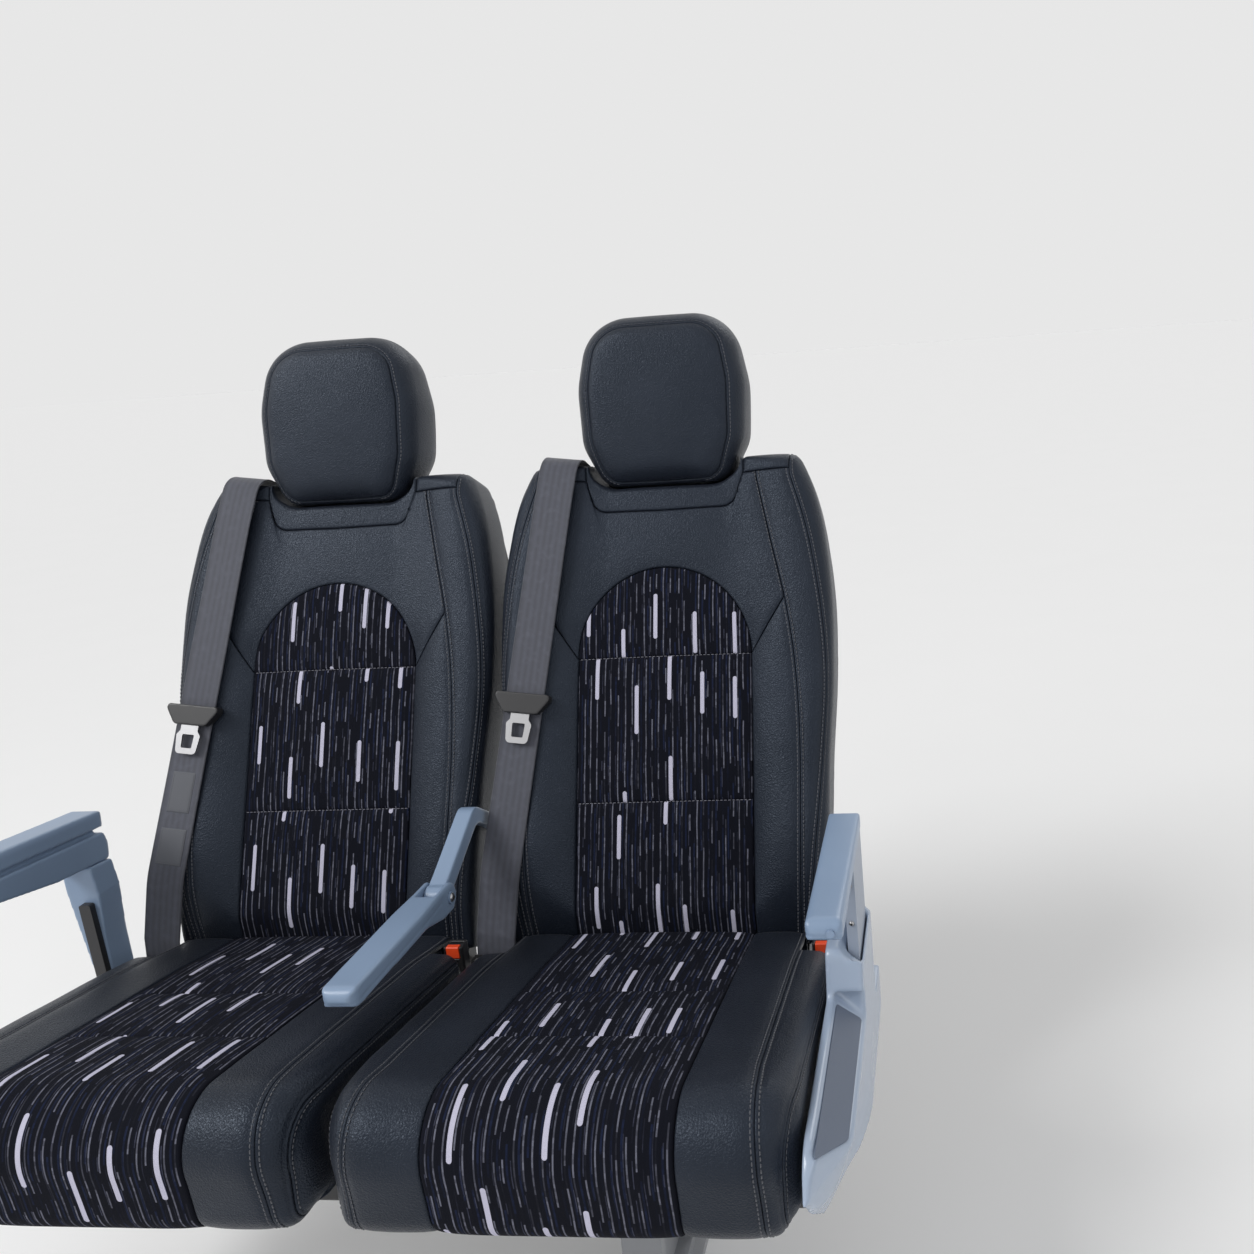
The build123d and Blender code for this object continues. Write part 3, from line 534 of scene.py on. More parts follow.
class Finish:
    """A procedural material while it is being made."""

    def __init__(self, name, colour, roughness, metal=0.0, **sockets):
        self.material = bpy.data.materials.new(name)
        self.material.use_nodes = True
        self.material.diffuse_color = (*colour, 1)
        self.tree = self.material.node_tree
        self.shader = self.tree.nodes["Principled BSDF"]
        self.set("Base Color", (*colour, 1))
        self.set("Roughness", roughness)
        self.set("Metallic", metal)
        for socket, value in sockets.items():
            self.set(socket.replace("_", " "), value)

    def set(self, socket, value):
        self.shader.inputs[socket].default_value = value

    def link(self, socket, value):
        self.feed(self.shader, socket, value)

    def feed(self, node, socket, value):
        if isinstance(value, Value):
            self.tree.links.new(value.socket, node.inputs[socket])
        else:
            node.inputs[socket].default_value = value

    def made(self, kind, inputs, output=0, **settings):
        """Output of a new node with its settings and inputs."""
        node = self.tree.nodes.new(kind)
        for key, value in settings.items():
            setattr(node, key, value)
        for socket, value in inputs.items():
            self.feed(node, socket, value)
        return Value(self, node.outputs[output])

    def maths(self, kind, *values):
        return self.made("ShaderNodeMath", dict(enumerate(values)), operation=kind)

    def place(self, kind="Object"):
        return self.made("ShaderNodeTexCoord", {}, kind)

    def parts(self, vector):
        first = self.made("ShaderNodeSeparateXYZ", {0: vector})
        return [Value(self, output) for output in first.socket.node.outputs]

    def vector(self, x=0.0, y=0.0, z=0.0):
        return self.made("ShaderNodeCombineXYZ", {0: x, 1: y, 2: z})

    def stretched(self, vector, scale):
        return self.made("ShaderNodeVectorMath", {0: vector, 1: scale}, operation="MULTIPLY")

    def noise(self, vector, scale, detail=2.0, roughness=.5):
        return self.made("ShaderNodeTexNoise", {"Vector": vector, "Scale": scale, "Detail": detail,
                                                "Roughness": roughness})

    def cells(self, vector, scale, feature):
        return self.made("ShaderNodeTexVoronoi", {"Vector": vector, "Scale": scale}, "Distance",
                         feature=feature)

    def chance(self, x, y=0.0, z=0.0):
        """Repeatable value from 0 to 1 for each whole-numbered place."""
        return self.made("ShaderNodeTexWhiteNoise", {"Vector": self.vector(x, y, z)}, "Value",
                         noise_dimensions="3D")

    def mixed(self, share, first, second):
        first, second = (c if isinstance(c, Value) else (*c, 1) for c in (first, second))
        return self.made("ShaderNodeMix", {"Factor": share, 6: first, 7: second}, 2, data_type="RGBA")

    def paint(self, share, first, second):
        self.link("Base Color", self.mixed(share, first, second))

    def relief(self, *layers):
        """The material, with bump from (height, depth in metres, strength) layers."""
        below = {}
        for height, depth, strength in layers:
            layer = {"Height": height, "Distance": depth, "Strength": strength, **below}
            below = {"Normal": self.made("ShaderNodeBump", layer)}
        self.link("Normal", below["Normal"])
        return self.material


def scaled(colour, by, plus=0.0):
    return tuple(c * by + plus for c in colour)


def leather(tints):
    """Black pebbled upholstery leather with a soft sheen."""
    dark = tuple(tints.leather)
    # The blue specular tint is a painted reflection of sky light, and the default leather colour holds a blue
    # tint of painted sky light too.
    finish = Finish("leather_black", dark, .4, Specular_IOR_Level=.34, Specular_Tint=(.7, .82, 1, 1),
                    Sheen_Weight=.02, Sheen_Roughness=.4)
    at = finish.place()
    bend = finish.noise(at, 260, 2)
    warped = finish.vector(*[part + bend * .0016 for part in finish.parts(at)])
    pebble = finish.cells(warped, 540, "SMOOTH_F1")
    crease = finish.cells(warped, 400, "DISTANCE_TO_EDGE").step(.0, .12)
    fine = finish.noise(at, 1500, 3, .6)
    broad = finish.noise(at, 9, 3)
    finish.paint(broad.step(.35, .75) * .6, dark, scaled(dark, 1.5, .004))
    finish.link("Roughness", fine * .10 + .27 + broad * .08)
    return finish.relief((broad, .004, .1), (crease, .0003, .5), (pebble, .0008, .65),
                         (fine, .00015, .4))


# Stripes of the cloth in mm, each kind one to a pitch: offset, width, run, share left out, tint, seed
STRIPE_PITCH = 9.6
STRIPES = ((.5, .2, 34.0, .3, (.009, .014, .038), 11.0),
           (.25, .08, 13.0, .5, (.05, .054, .085), 17.0),
           (.0, .14, 21.0, .2, (.15, .155, .2), 3.0))
DASH_U, DASH_V = 47.0, 138.0


def cloth(tints):
    """Dark seat cloth: broken pale pin stripes, navy stripes between them and bold rounded dashes."""
    finish = Finish("cloth_striped", (.005, .006, .012), .9, Specular_IOR_Level=.12)
    u, v = finish.parts(finish.place("UV"))[:2]
    u, v = u / MM, v / MM
    wander = finish.noise(finish.vector(u * .01, v * .006), 3, 1) - .5
    u_thin = u + wander * 2.5
    total, colour = None, (.0035, .0042, .0085)
    for offset, width, run, keep, tint, seed in STRIPES:
        place = u_thin / STRIPE_PITCH + offset
        column = place.floor()
        jitter = (finish.chance(column, seed) - .5) * .3
        off = (place.fract() - .5 - jitter).abs()
        start = finish.chance(column, seed + 1)
        piece = (v / run + start * 13).floor()
        shown = finish.chance(column, piece, seed + 2)
        speck = finish.chance(column, (v / 4.2 + start * 7).floor(), seed + 3)
        mask = off.step(width / 2 + .04, width / 2 - .01) * shown.step(keep - .1, keep + .5)
        mask = mask * (speck * .75 + .45).least(1.0)
        colour = finish.mixed(mask, colour, tint)
        total = mask if total is None else total.most(mask)
    place = u / DASH_U + .5
    column = place.floor()
    start = finish.chance(column, 21.0)
    high = v / DASH_V + start * 5 + column * .37
    cell = high.floor()
    jump = (finish.chance(column, cell, 23.0) - .5) * 24
    across = (place.fract() - .5) * DASH_U + jump
    up = ((high.fract() - .5) * DASH_V).abs() - (finish.chance(column, cell, 25.0) * 8 + 24)
    reach = up.most(0.0)
    distance = (across * across + reach * reach).root()
    dash = distance.step(3.0, 2.5) * finish.chance(column, cell, 27.0).over(.12)
    colour = finish.mixed(dash, colour, tuple(tints.dash))
    yarn = (u * (2 * pi / .9)).sine() * .5 + .5
    rib = (v * (2 * pi / 1.1) + u * 2.1).sine() * .5 + .5
    fuzz = finish.noise(finish.vector(u, v), 1.6, 3)
    finish.paint(fuzz.step(.4, .8) * .2, colour, (.012, .014, .024))
    finish.link("Roughness", fuzz * .15 + .8)
    return finish.relief((total.most(dash), .0005, .5), (yarn * rib, .00022, .6),
                         (fuzz, .0003, .4))


def webbing_finish():
    """Seat belt webbing with lengthwise bands and a close herringbone."""
    finish = Finish("webbing_grey", (.07, .075, .095), .62, Specular_IOR_Level=.35, Sheen_Weight=.2)
    u, v = [part / MM for part in finish.parts(finish.place("UV"))[:2]]
    band = (u / 9.0).fract() - .5
    ridge = (u * (2 * pi / 1.5)).sine() * .5 + .5
    bone = (v / 2.4 + band.abs() * 3.2).fract().step(.2, .8)
    edge = u.abs().step(23.5, 25.5)
    shade = finish.mixed(ridge * .5 + band.abs() * .6, (.047, .049, .062), (.105, .112, .146))
    shade = finish.mixed(edge * .6, shade, (.038, .04, .05))
    wear = finish.noise(finish.vector(u, v), .09, 3)
    finish.paint(wear.step(.45, .8) * .35, shade, (.13, .139, .178))
    finish.link("Roughness", wear * .2 + .5)
    return finish.relief((ridge, .0004, .6), (bone, .0003, .5), (edge, .0004, .5))


def plastic(name, colour, roughness, grain=900.0, depth=.00012, coat=0.0):
    """Moulded plastic with a fine spark grain, faint clouding and rubbed patches."""
    finish = Finish(name, colour, roughness, Coat_Weight=coat, Coat_Roughness=.25)
    at = finish.place()
    fine = finish.noise(at, grain, 2, .6)
    cloud = finish.noise(at, 6, 3)
    rub = finish.noise(finish.stretched(at, (1, .25, 1)), 60, 4, .65)
    other = tuple(min(1, c * 1.12 + .01) for c in colour)
    patches = cloud.step(.35, .75) * .5 + rub.step(.62, .8) * .3
    finish.paint(patches, colour, other)
    finish.link("Roughness", cloud * .14 + rub * .1 + (roughness - .12))
    return finish.relief((fine, depth, .5), (rub, .0002, .12))


def painted(name, colour, roughness):
    """Powder-coated steel with orange peel and small scuffs."""
    finish = Finish(name, colour, roughness, Coat_Weight=.12, Coat_Roughness=.3)
    at = finish.place()
    peel = finish.noise(at, 520, 2)
    scuff = finish.noise(finish.stretched(at, (1, 1, .35)), 42, 5, .7)
    dust = finish.noise(at, 7, 3)
    dusty = finish.mixed(dust.step(.4, .8) * .35, colour, scaled(colour, .8, .03))
    finish.paint(scuff.step(.7, .76) * .5, dusty, (.32, .31, .3))
    finish.link("Roughness", dust * .2 + (roughness - .1))
    return finish.relief((peel, .0003, .35), (scuff, .0002, .15))


def steel():
    """Brushed, plated steel."""
    colour, roughness = (.4, .4, .41), .33
    finish = Finish("bright_steel", colour, roughness, 1.0)
    at = finish.place()
    brush = finish.noise(finish.stretched(at, (1, .06, 1)), 900, 3)
    smear = finish.noise(at, 30, 3)
    finish.paint(smear.step(.45, .8) * .4, colour, scaled(colour, .75))
    finish.link("Roughness", brush * .16 + smear * .12 + (roughness - .12))
    return finish.relief((brush, .00012, .25))


def thread(name, colour):
    """Twisted sewing thread."""
    finish = Finish(name, colour, .6, Sheen_Weight=.3)
    twist = finish.noise(finish.place(), 2600, 1)
    finish.paint(twist, scaled(colour, .6), colour)
    return finish.relief((twist, .0002, .5))


def floor_finish(colour):
    """Pale studio floor: even, with the slightest mottling."""
    finish = Finish("floor_pale", colour, .85, Specular_IOR_Level=0.0)
    finish.paint(finish.noise(finish.place(), 3, 2), colour, scaled(colour, .985))
    return finish.material


# Seat back cover

HALF_AT = curve_through(ROW_Z, ROW_HALF)
RISE_AT = curve_through(ROW_Z, ROW_RISE)
LOWER_AT = curve_through([-18, 0, 25, 50, 70, 85, 110], [20, 13, 1, -9, -16, -20, -26])
INNER_SEAM = curve_through([-60, 0, 166, 300, 375, 443, 523, 612],
                           [174, 180, 187, 186, 180, 169, 151, 132])
OUTER_SEAM = curve_through([-60, 0, 110, 230, 345, 452, 543, 612],
                           [190, 194, 205, 217, 224, 216, 200, 180])


def back_width(s):
    """Height, half width and bolster rise at a way s up the back and over its top."""
    turn = np.clip((s - TURN_S) / TURN_R, 0, pi / 2)
    over = np.maximum(s - TURN_S - TURN_R * pi / 2, 0)
    z = np.where(s > TURN_S, TURN_S + TURN_R * np.sin(turn) + over * .07, np.maximum(s, BACK_LOW))
    into = np.clip(z - (SHOULDER_Z - SHOULDER_R), 0, SHOULDER_R * .999)
    half = HALF_AT(z) - (SHOULDER_R - np.sqrt(SHOULDER_R ** 2 - into ** 2))
    return z, half, RISE_AT(z), turn, over


def eased(x, crest, rise, reach=44.0):
    """Depth of the front across the cloth's edge line, rounded over instead of creased."""
    a, b = INSERT_HALF - reach, INSERT_HALF + reach

    def inner(x):
        return -4 * (1 - (x / INSERT_HALF) ** 2)

    def outer(x):
        t = np.clip((x - INSERT_HALF) / (crest - INSERT_HALF), 0, 1)
        return -rise * (2 * t - t * t)
    slope_a, slope_b = inner(a + .5) - inner(a - .5), outer(b + .5) - outer(b - .5)
    between = bridged(np.clip((x - a) / (b - a), 0, 1), b - a, inner(a), outer(b), slope_a, slope_b)
    return np.where(x < a, inner(x), np.where(x > b, outer(x), between))


def back_cover(c, s):
    """Point of the cover. c goes from the middle by the cloth's edge (1), the bolster's crest (2) and its
    outside (3) to the rear (4); s goes up the back, over the shoulder and to the rear."""
    side, c = np.sign(c), np.abs(c)
    z, half, rise, turn, over = back_width(s)
    crest = half - BOLSTER
    t1, t2 = np.clip(c - 1, 0, 1), np.clip(c - 2, 0, 1) * pi / 2
    x = np.where(c < 1, c * INSERT_HALF, np.where(c < 2, INSERT_HALF + (crest - INSERT_HALF) * t1,
                                                 crest + BOLSTER * np.sin(t2)))
    y = np.where(c < 1, -4 * (1 - c * c),
                 np.where(c < 2, -rise * (2 * t1 - t1 * t1), -rise + 28 * (1 - np.cos(t2))))
    y = y + smoothed(s, ARCH_FOOT + 8, ARCH_FOOT + 68) * (eased(x, crest, rise) - y) * (c < 2)
    low = np.where(s > TURN_S, -21 + TURN_R * (1 - np.cos(turn)) + over,
                   np.where(z < 110, LOWER_AT(z) + np.maximum(BACK_LOW - s, 0), -60.0))
    y = (y + low + np.sqrt((y - low) ** 2 + 9)) / 2
    y = np.where(c > 3, y + (BACK_DEPTH - y) * np.clip(c - 3, 0, 1), y)
    return np.stack([x * side, np.minimum(y, BACK_DEPTH), z], -1)


def c_of(x, s):
    """The c of a point x mm from the middle."""
    side, x = np.sign(x), np.abs(x)
    crest = back_width(s)[1] - BOLSTER
    out = np.clip((x - crest) / BOLSTER, 0, 1)
    c = np.where(x < INSERT_HALF, x / INSERT_HALF,
                 np.where(x < crest, 1 + (x - INSERT_HALF) / np.maximum(crest - INSERT_HALF, 1),
                          2 + np.arcsin(out) / (pi / 2)))
    return c * side


def on_back(grid):
    """Lattice of (x, s) put onto the back's cover."""
    return back_cover(c_of(grid[..., 0], grid[..., 1]), grid[..., 1])


def arch(x):
    """Height of the cloth's arched top."""
    return ARCH_FOOT + (ARCH_TOP - ARCH_FOOT) * np.sqrt(np.maximum(1 - (x / CLOTH_HALF) ** 2, 0))


def mirrored(grid, side):
    return grid * np.array([side, 1.0])


def both_sides(half):
    """A line as far as the middle, carried on by its mirror image."""
    return np.concatenate([half, mirrored(half[-2::-1], -1)])


def cloth_grid(low, high, step):
    """Lattice over the cloth's width, between two ways along a cover."""
    xs = (spaced(2 * CLOTH_HALF, 6.0) * 2 - 1) * CLOTH_HALF
    return np.stack(np.meshgrid(xs, low + (high - low) * spaced(high - low, step)), -1)


def crown_edge():
    """Outer edge of the crown panel's right half, from the cloth's corner by the seams to the middle."""
    diagonal, ridge, shoulder, turn, yoke = (np.linspace(0, 1, n)[1:] for n in (16, 24, 5, 14, 22))
    foot, seam_end = np.array([CLOTH_HALF, ARCH_FOOT]), INNER_SEAM(SHOULDER_S)
    s = DIAGONAL_S + (SHOULDER_S - DIAGONAL_S) * ridge
    return np.concatenate([
        foot + np.outer(np.r_[0, diagonal], [INNER_SEAM(DIAGONAL_S), DIAGONAL_S] - foot),
        np.stack([INNER_SEAM(s), s], -1),
        np.stack([seam_end + (YOKE_X - seam_end) * shoulder, np.full(4, SHOULDER_S)], -1),
        along(rounded(YOKE_SEAM, [22]), np.r_[turn * .42, .42 + yoke * .58])])


def back_leather():
    """Leather panels, stitches and padding of a seat back, in its upright frame."""
    skin = Skin()
    rear = (4.0, 3.0, 0)
    for side in (-1, 1):
        # Between the cloth and the inner seam, ending at the diagonal seam
        rows = spaced(520, 6.5)
        left, right = (PAD_FOOT + (end - PAD_FOOT) * rows for end in (ARCH_FOOT, DIAGONAL_S))
        grid = ruled(np.stack([np.full(len(rows), CLOTH_HALF), left], -1),
                     np.stack([INNER_SEAM(right), right], -1), spaced(62, 4.5)).transpose(1, 0, 2)
        panel(skin, on_back(mirrored(grid, side)), BACK_HEART, (PLAIN, STITCHED, PLAIN, PLAIN), 3.5,
              stitched=[("right", (8, 6))])
        # Outer bolster, between the two long seams
        s = PAD_FOOT + (SHOULDER_S - PAD_FOOT) * spaced(690, 6.5)
        grid = strip(INNER_SEAM(s), OUTER_SEAM(s), s, spaced(38, 3.5))
        panel(skin, on_back(mirrored(grid, side)), BACK_HEART, (STITCHED, STITCHED, PLAIN, PLAIN), 2.5,
              stitched=[("left", (8, 2)), ("right", (8, 2))])
        # Side gusset, from the outer seam round to the rear
        s = PAD_FOOT + (TURN_S + 44 - PAD_FOOT) * spaced(760, 8.0)
        grid = strip(c_of(OUTER_SEAM(s), s), 4.0, s, spaced(96, 7.0))
        panel(skin, back_cover(grid[..., 0] * side, grid[..., 1]), BACK_HEART,
              (STITCHED, rear, PLAIN, PLAIN), 2.0, stitched=[("left", (8, 8))])
        # Shoulder top, from the shoulder seam over to the rear
        s = SHOULDER_S + spaced(110, 4.5) * 106
        outside = np.minimum(OUTER_SEAM(s), back_width(s)[1] - 5)
        grid = strip(RECESS_HALF + 1, outside, s, spaced(62, 4.0))
        panel(skin, on_back(mirrored(grid, side)), BACK_HEART, ((7.0, 5.0, 0), PLAIN, PLAIN, PLAIN), 2.0)
    # Crown panel round the arch, up to the shoulder and yoke seams
    half = crown_edge()
    angle = np.interp(np.arange(len(half)), [0, 15, 38, 42, 55, len(half) - 1],
                      [0, .17, .52, .57, .70, 1]) * pi / 2
    arched = np.stack([CLOTH_HALF * np.cos(angle), ARCH_FOOT + (ARCH_TOP - ARCH_FOOT) * np.sin(angle)], -1)
    grid = ruled(both_sides(arched), both_sides(half), spaced(95, 4.0))
    outer = panel(skin, on_back(grid), BACK_HEART, (None, None, PLAIN, PLAIN))
    for ridge in (slice(16, 40), slice(-40, -16)):
        stitched_edge(skin, outer[:, ridge], BACK_HEART, "last")
    # Yoke panel, from the U-shaped seam over the recess's edge to the rear
    recess = rounded([(RECESS_HALF, TURN_S + 50), (RECESS_HALF - 3, TURN_S + 12),
                      (79, RECESS_LOW), (0, RECESS_LOW)], [30, 44])
    seam = rounded([(RECESS_HALF + 2, TURN_S + 50), *YOKE_SEAM], [6, 22])
    below, above = (both_sides(along(line, np.linspace(0, 1, 46))) for line in (seam, recess))
    edge = on_back(above[None])[0]
    x, y, z = edge.T
    runs = []
    for t in np.linspace(0, 1, 16):
        depth = y + 3 + (BACK_DEPTH - y - 3) * t
        rise = RECESS_SLOPE * (depth - y) + 13 * t * t * smoothed(np.abs(x), 50, 85)
        runs.append(np.stack([x, depth, np.minimum(z + rise, SHOULDER_Z - 2)], -1))
    lattice = np.concatenate([on_back(ruled(below, above, spaced(22, 3.0)[:-4])), np.array(runs)])
    panel(skin, lattice, np.array([0, 40.0, 480.0]), (PLAIN, PLAIN, PLAIN, rear), 1.2, spread=8)
    core(skin, "back_pad_aisle", lambda points: upright(points, SEATS["aisle"]) * [BACK_CORE_WIDTH, 1, 1])
    return skin


def back_cloth():
    """Three sewn fields of striped cloth on a seat back, the top one arched."""
    skin = Skin()
    channel = (4.5, 2.0, 0)
    for low, high, shift in ((PAD_FOOT, CHANNEL_S, (7.0, 31.0)), (CHANNEL_S, ARCH_FOOT, (0.0, 0.0))):
        grid = cloth_grid(low, high, 6.0)
        outer = panel(skin, on_back(grid), BACK_HEART, (CLOTH_EDGE, CLOTH_EDGE, channel, channel), 4.0,
                      grid + shift, uneven=.5)
        stitched_edge(skin, outer, BACK_HEART, "last", 1.6, (3, 3))
    xs = CLOTH_HALF * np.sin((spaced(260, 6.0) * 2 - 1) * pi / 2)
    foot, top = (np.stack(np.broadcast_arrays(xs, s), -1) for s in (ARCH_FOOT, arch(xs)))
    grid = ruled(foot, top, spaced(124, 5.0))
    panel(skin, on_back(grid), BACK_HEART, (None, None, channel, CLOTH_EDGE), 3.5, grid + (3.5, 55.0),
          uneven=.5)
    return skin


# Seat cushion cover

def cushion_path():
    """Middle line of a cushion's cover in (y, z) from its rear foot, the way along it, its normals."""
    rise = (CUSHION_REAR - CUSHION_FRONT) * tan(CUSHION_SLOPE)
    line = rounded([(CUSHION_REAR - 1, CUSHION_LOW + 8), (CUSHION_REAR, CREASE_Z),
                    (CUSHION_FRONT, CREASE_Z + rise), (CUSHION_FRONT + 8, FRONT_LOW),
                    (CUSHION_FRONT + 45, FRONT_LOW)], [14, 55, 32])
    ahead = np.gradient(line, lengths(line), axis=0)
    return line, lengths(line), unit(np.stack([ahead[:, 1], -ahead[:, 0]], -1))


PATH, PATH_WAY, PATH_OUT = cushion_path()
PATH_END = PATH_WAY[-1]
FALL = (395.0, 520.0, PATH_END - 80, PATH_END - 30)
FALL_R = (20.0, 40.0, 36.0, 22.0)


def cushion_cover(a, p):
    """Point of the cushion's cover: a mm from the middle, p mm along its profile from the rear foot."""
    side, a = np.sign(a), np.abs(a)
    y, z, ny, nz = (np.interp(p, PATH_WAY, column) for column in (*PATH.T, *PATH_OUT.T))
    radius = np.interp(p, FALL, FALL_R)
    flat = cushion_half(p) - radius
    turn = np.clip((a - flat) / radius, 0, pi / 2)
    x = np.where(a < flat, a, flat + radius * np.sin(turn))
    ends = np.clip((p - 60) / 120, 0, 1) * np.clip((PATH_END - 40 - p) / 120, 0, 1)
    ends = ends * ends * (3 - 2 * ends)
    crown = ends * (3.5 * (1 - (a / 250) ** 2) + 4.5 * np.exp(-((a - 186) / 30) ** 2))
    depth = radius * (1 - np.cos(turn)) - crown
    return np.stack([x * side, y - ny * depth, z - nz * depth], -1)


def cushion_half(p):
    return np.interp(p, [430, PATH_END - 60], [CUSHION_HALF, FRONT_HALF])


def side_half(y):
    return np.interp(y, [CUSHION_FRONT, CUSHION_FRONT + 60], [FRONT_HALF + 2, CUSHION_HALF])


def cushion_seam(p):
    return np.interp(p, [0, 420, 520, PATH_END], [188, 190, 197, 200])


def cushion_edge(p):
    radius = np.interp(p, FALL, FALL_R)
    return cushion_half(p) - radius + radius * radians(58)


def on_cushion(grid):
    """Lattice of (a, p) put onto the cushion's cover."""
    return cushion_cover(grid[..., 0], grid[..., 1])


def cushion_leather():
    """Leather panels, stitches and padding of a cushion."""
    skin = Skin()
    rim = (2.4, 2.2, STITCH_GAP)
    notch_p = REAR_P + (CUSHION_REAR - NOTCH_Y) / cos(CUSHION_SLOPE)
    for side in (-1, 1):
        # Between the cloth and the bolster's seam
        p = PATH_END * spaced(PATH_END, 6.0)
        grid = strip(CLOTH_HALF, cushion_seam(p), p, spaced(70, 4.5))
        panel(skin, on_cushion(mirrored(grid, side)), CUSHION_HEART, (PLAIN, STITCHED, PLAIN, PLAIN),
              stitched=[("right", (14, 8))])
        # Bolster, out to the edge seam and back to the notch
        p = notch_p + (PATH_END - notch_p) * spaced(PATH_END - notch_p, 6.0)
        grid = strip(cushion_seam(p), cushion_edge(p), p, spaced(40, 3.6))
        panel(skin, on_cushion(mirrored(grid, side)), CUSHION_HEART, (STITCHED, rim, PLAIN, PLAIN), 2.2,
              stitched=[("left", (3, 8))])
        # Side gusset, from the edge seam inward to a spine along its middle
        top = cushion_cover(cushion_edge(p) * side, p)
        y = np.linspace(top[-1, 1], NOTCH_Y, 48)[1:]
        low = np.interp(y, [top[-1, 1], -150], [FRONT_LOW + 16, CUSHION_LOW])
        under = np.stack([side_half(y) * side, y, low], -1)
        rear = under[-1] + (top[0] - under[-1]) * np.linspace(0, 1, 14)[1:, None]
        outline = np.concatenate([top, under, rear])
        y = np.clip(outline[:, 1], -205, NOTCH_Y - 45)
        high = np.interp(y, top[::-1, 1], top[::-1, 2])
        spine = np.stack([side_half(y) * side, y, (high + CUSHION_LOW) / 2], -1)
        shares = spaced(90, 5.0)[:-5]
        shares = shares / shares[-1]
        lattice = ruled(outline, spine, shares)
        bulge = np.sin(np.clip(shares * 3, 0, 1) * pi / 2)[:, None]
        x = outline[None, :, 0]
        lattice[..., 0] = x + (side_half(lattice[..., 1]) * side - x) * bulge
        outer = panel(skin, lattice, CUSHION_HEART, (None, None, rim, None), 1.5)
        stitched_edge(skin, outer[:, :len(top)], CUSHION_HEART, "first", trim=(3, 12))
    core(skin, "cushion_aisle",
         lambda points: (points / MM - [SEATS["aisle"], 0, 0]) * [CUSHION_CORE_WIDTH, 1, 1])
    return skin


def cushion_cloth():
    """Striped cloth over the cushion, with shallow cross channels, down to the front's foot."""
    skin = Skin()
    channel = (3.5, 1.2, 0)
    top = REAR_P + (CUSHION_REAR + 13) / cos(CUSHION_SLOPE)
    cuts = [0.0, top, top + 114, PATH_END]
    for k, (low, high) in enumerate(zip(cuts, cuts[1:])):
        grid = cloth_grid(low, high, 5.0)
        panel(skin, on_cushion(grid), CUSHION_HEART, (CLOTH_EDGE, CLOTH_EDGE, channel, channel), 3.5,
              grid + (2.0 * k, 400.0), uneven=.5)
    return skin


# Headrest cover

HEAD_LINE = rounded([(0, 0), (86, 0), (116, 60), (120, 140), (101, HEAD_TALL), (0, HEAD_TALL)],
                    [34, 60, 120, 66], 4)
HEAD_SEAM = rounded([(0, 3), (79, 3), (97, 62), (99, 140), (85, HEAD_TALL - 18), (0, HEAD_TALL - 18)],
                    [28, 60, 110, 46], 4)
HEAD_WAYS = np.array([0, .6, 1.3, 2.2, 3.4, 5, 7.5, 11, 15, 20, 26, 33, 41, 50, 59, 68, 76, 83, 89, 92])
HEAD_FRONT = curve_through([-10, 0, 20, 90, 200, 235, 260], [6, 3, 0, -1, 3, 7, 12])
HEAD_REAR = curve_through([-10, 0, 40, 90, 170, 235, 260], [90, 96, 106, 111, 104, 93, 88])


def head_place(points):
    """From the headrest's tilted frame to the upright back's."""
    x, y, z = np.moveaxis(points, -1, 0)
    return np.stack([x, *swung(y, z, HEAD_TILT)], -1) + [0, HEAD_Y, HEAD_Z]


def ring_of(line, n):
    """Closed ring of n points to a side from a line's right half."""
    half = along(line, np.linspace(0, 1, n))
    return np.concatenate([half, mirrored(half[-2:0:-1], -1)])


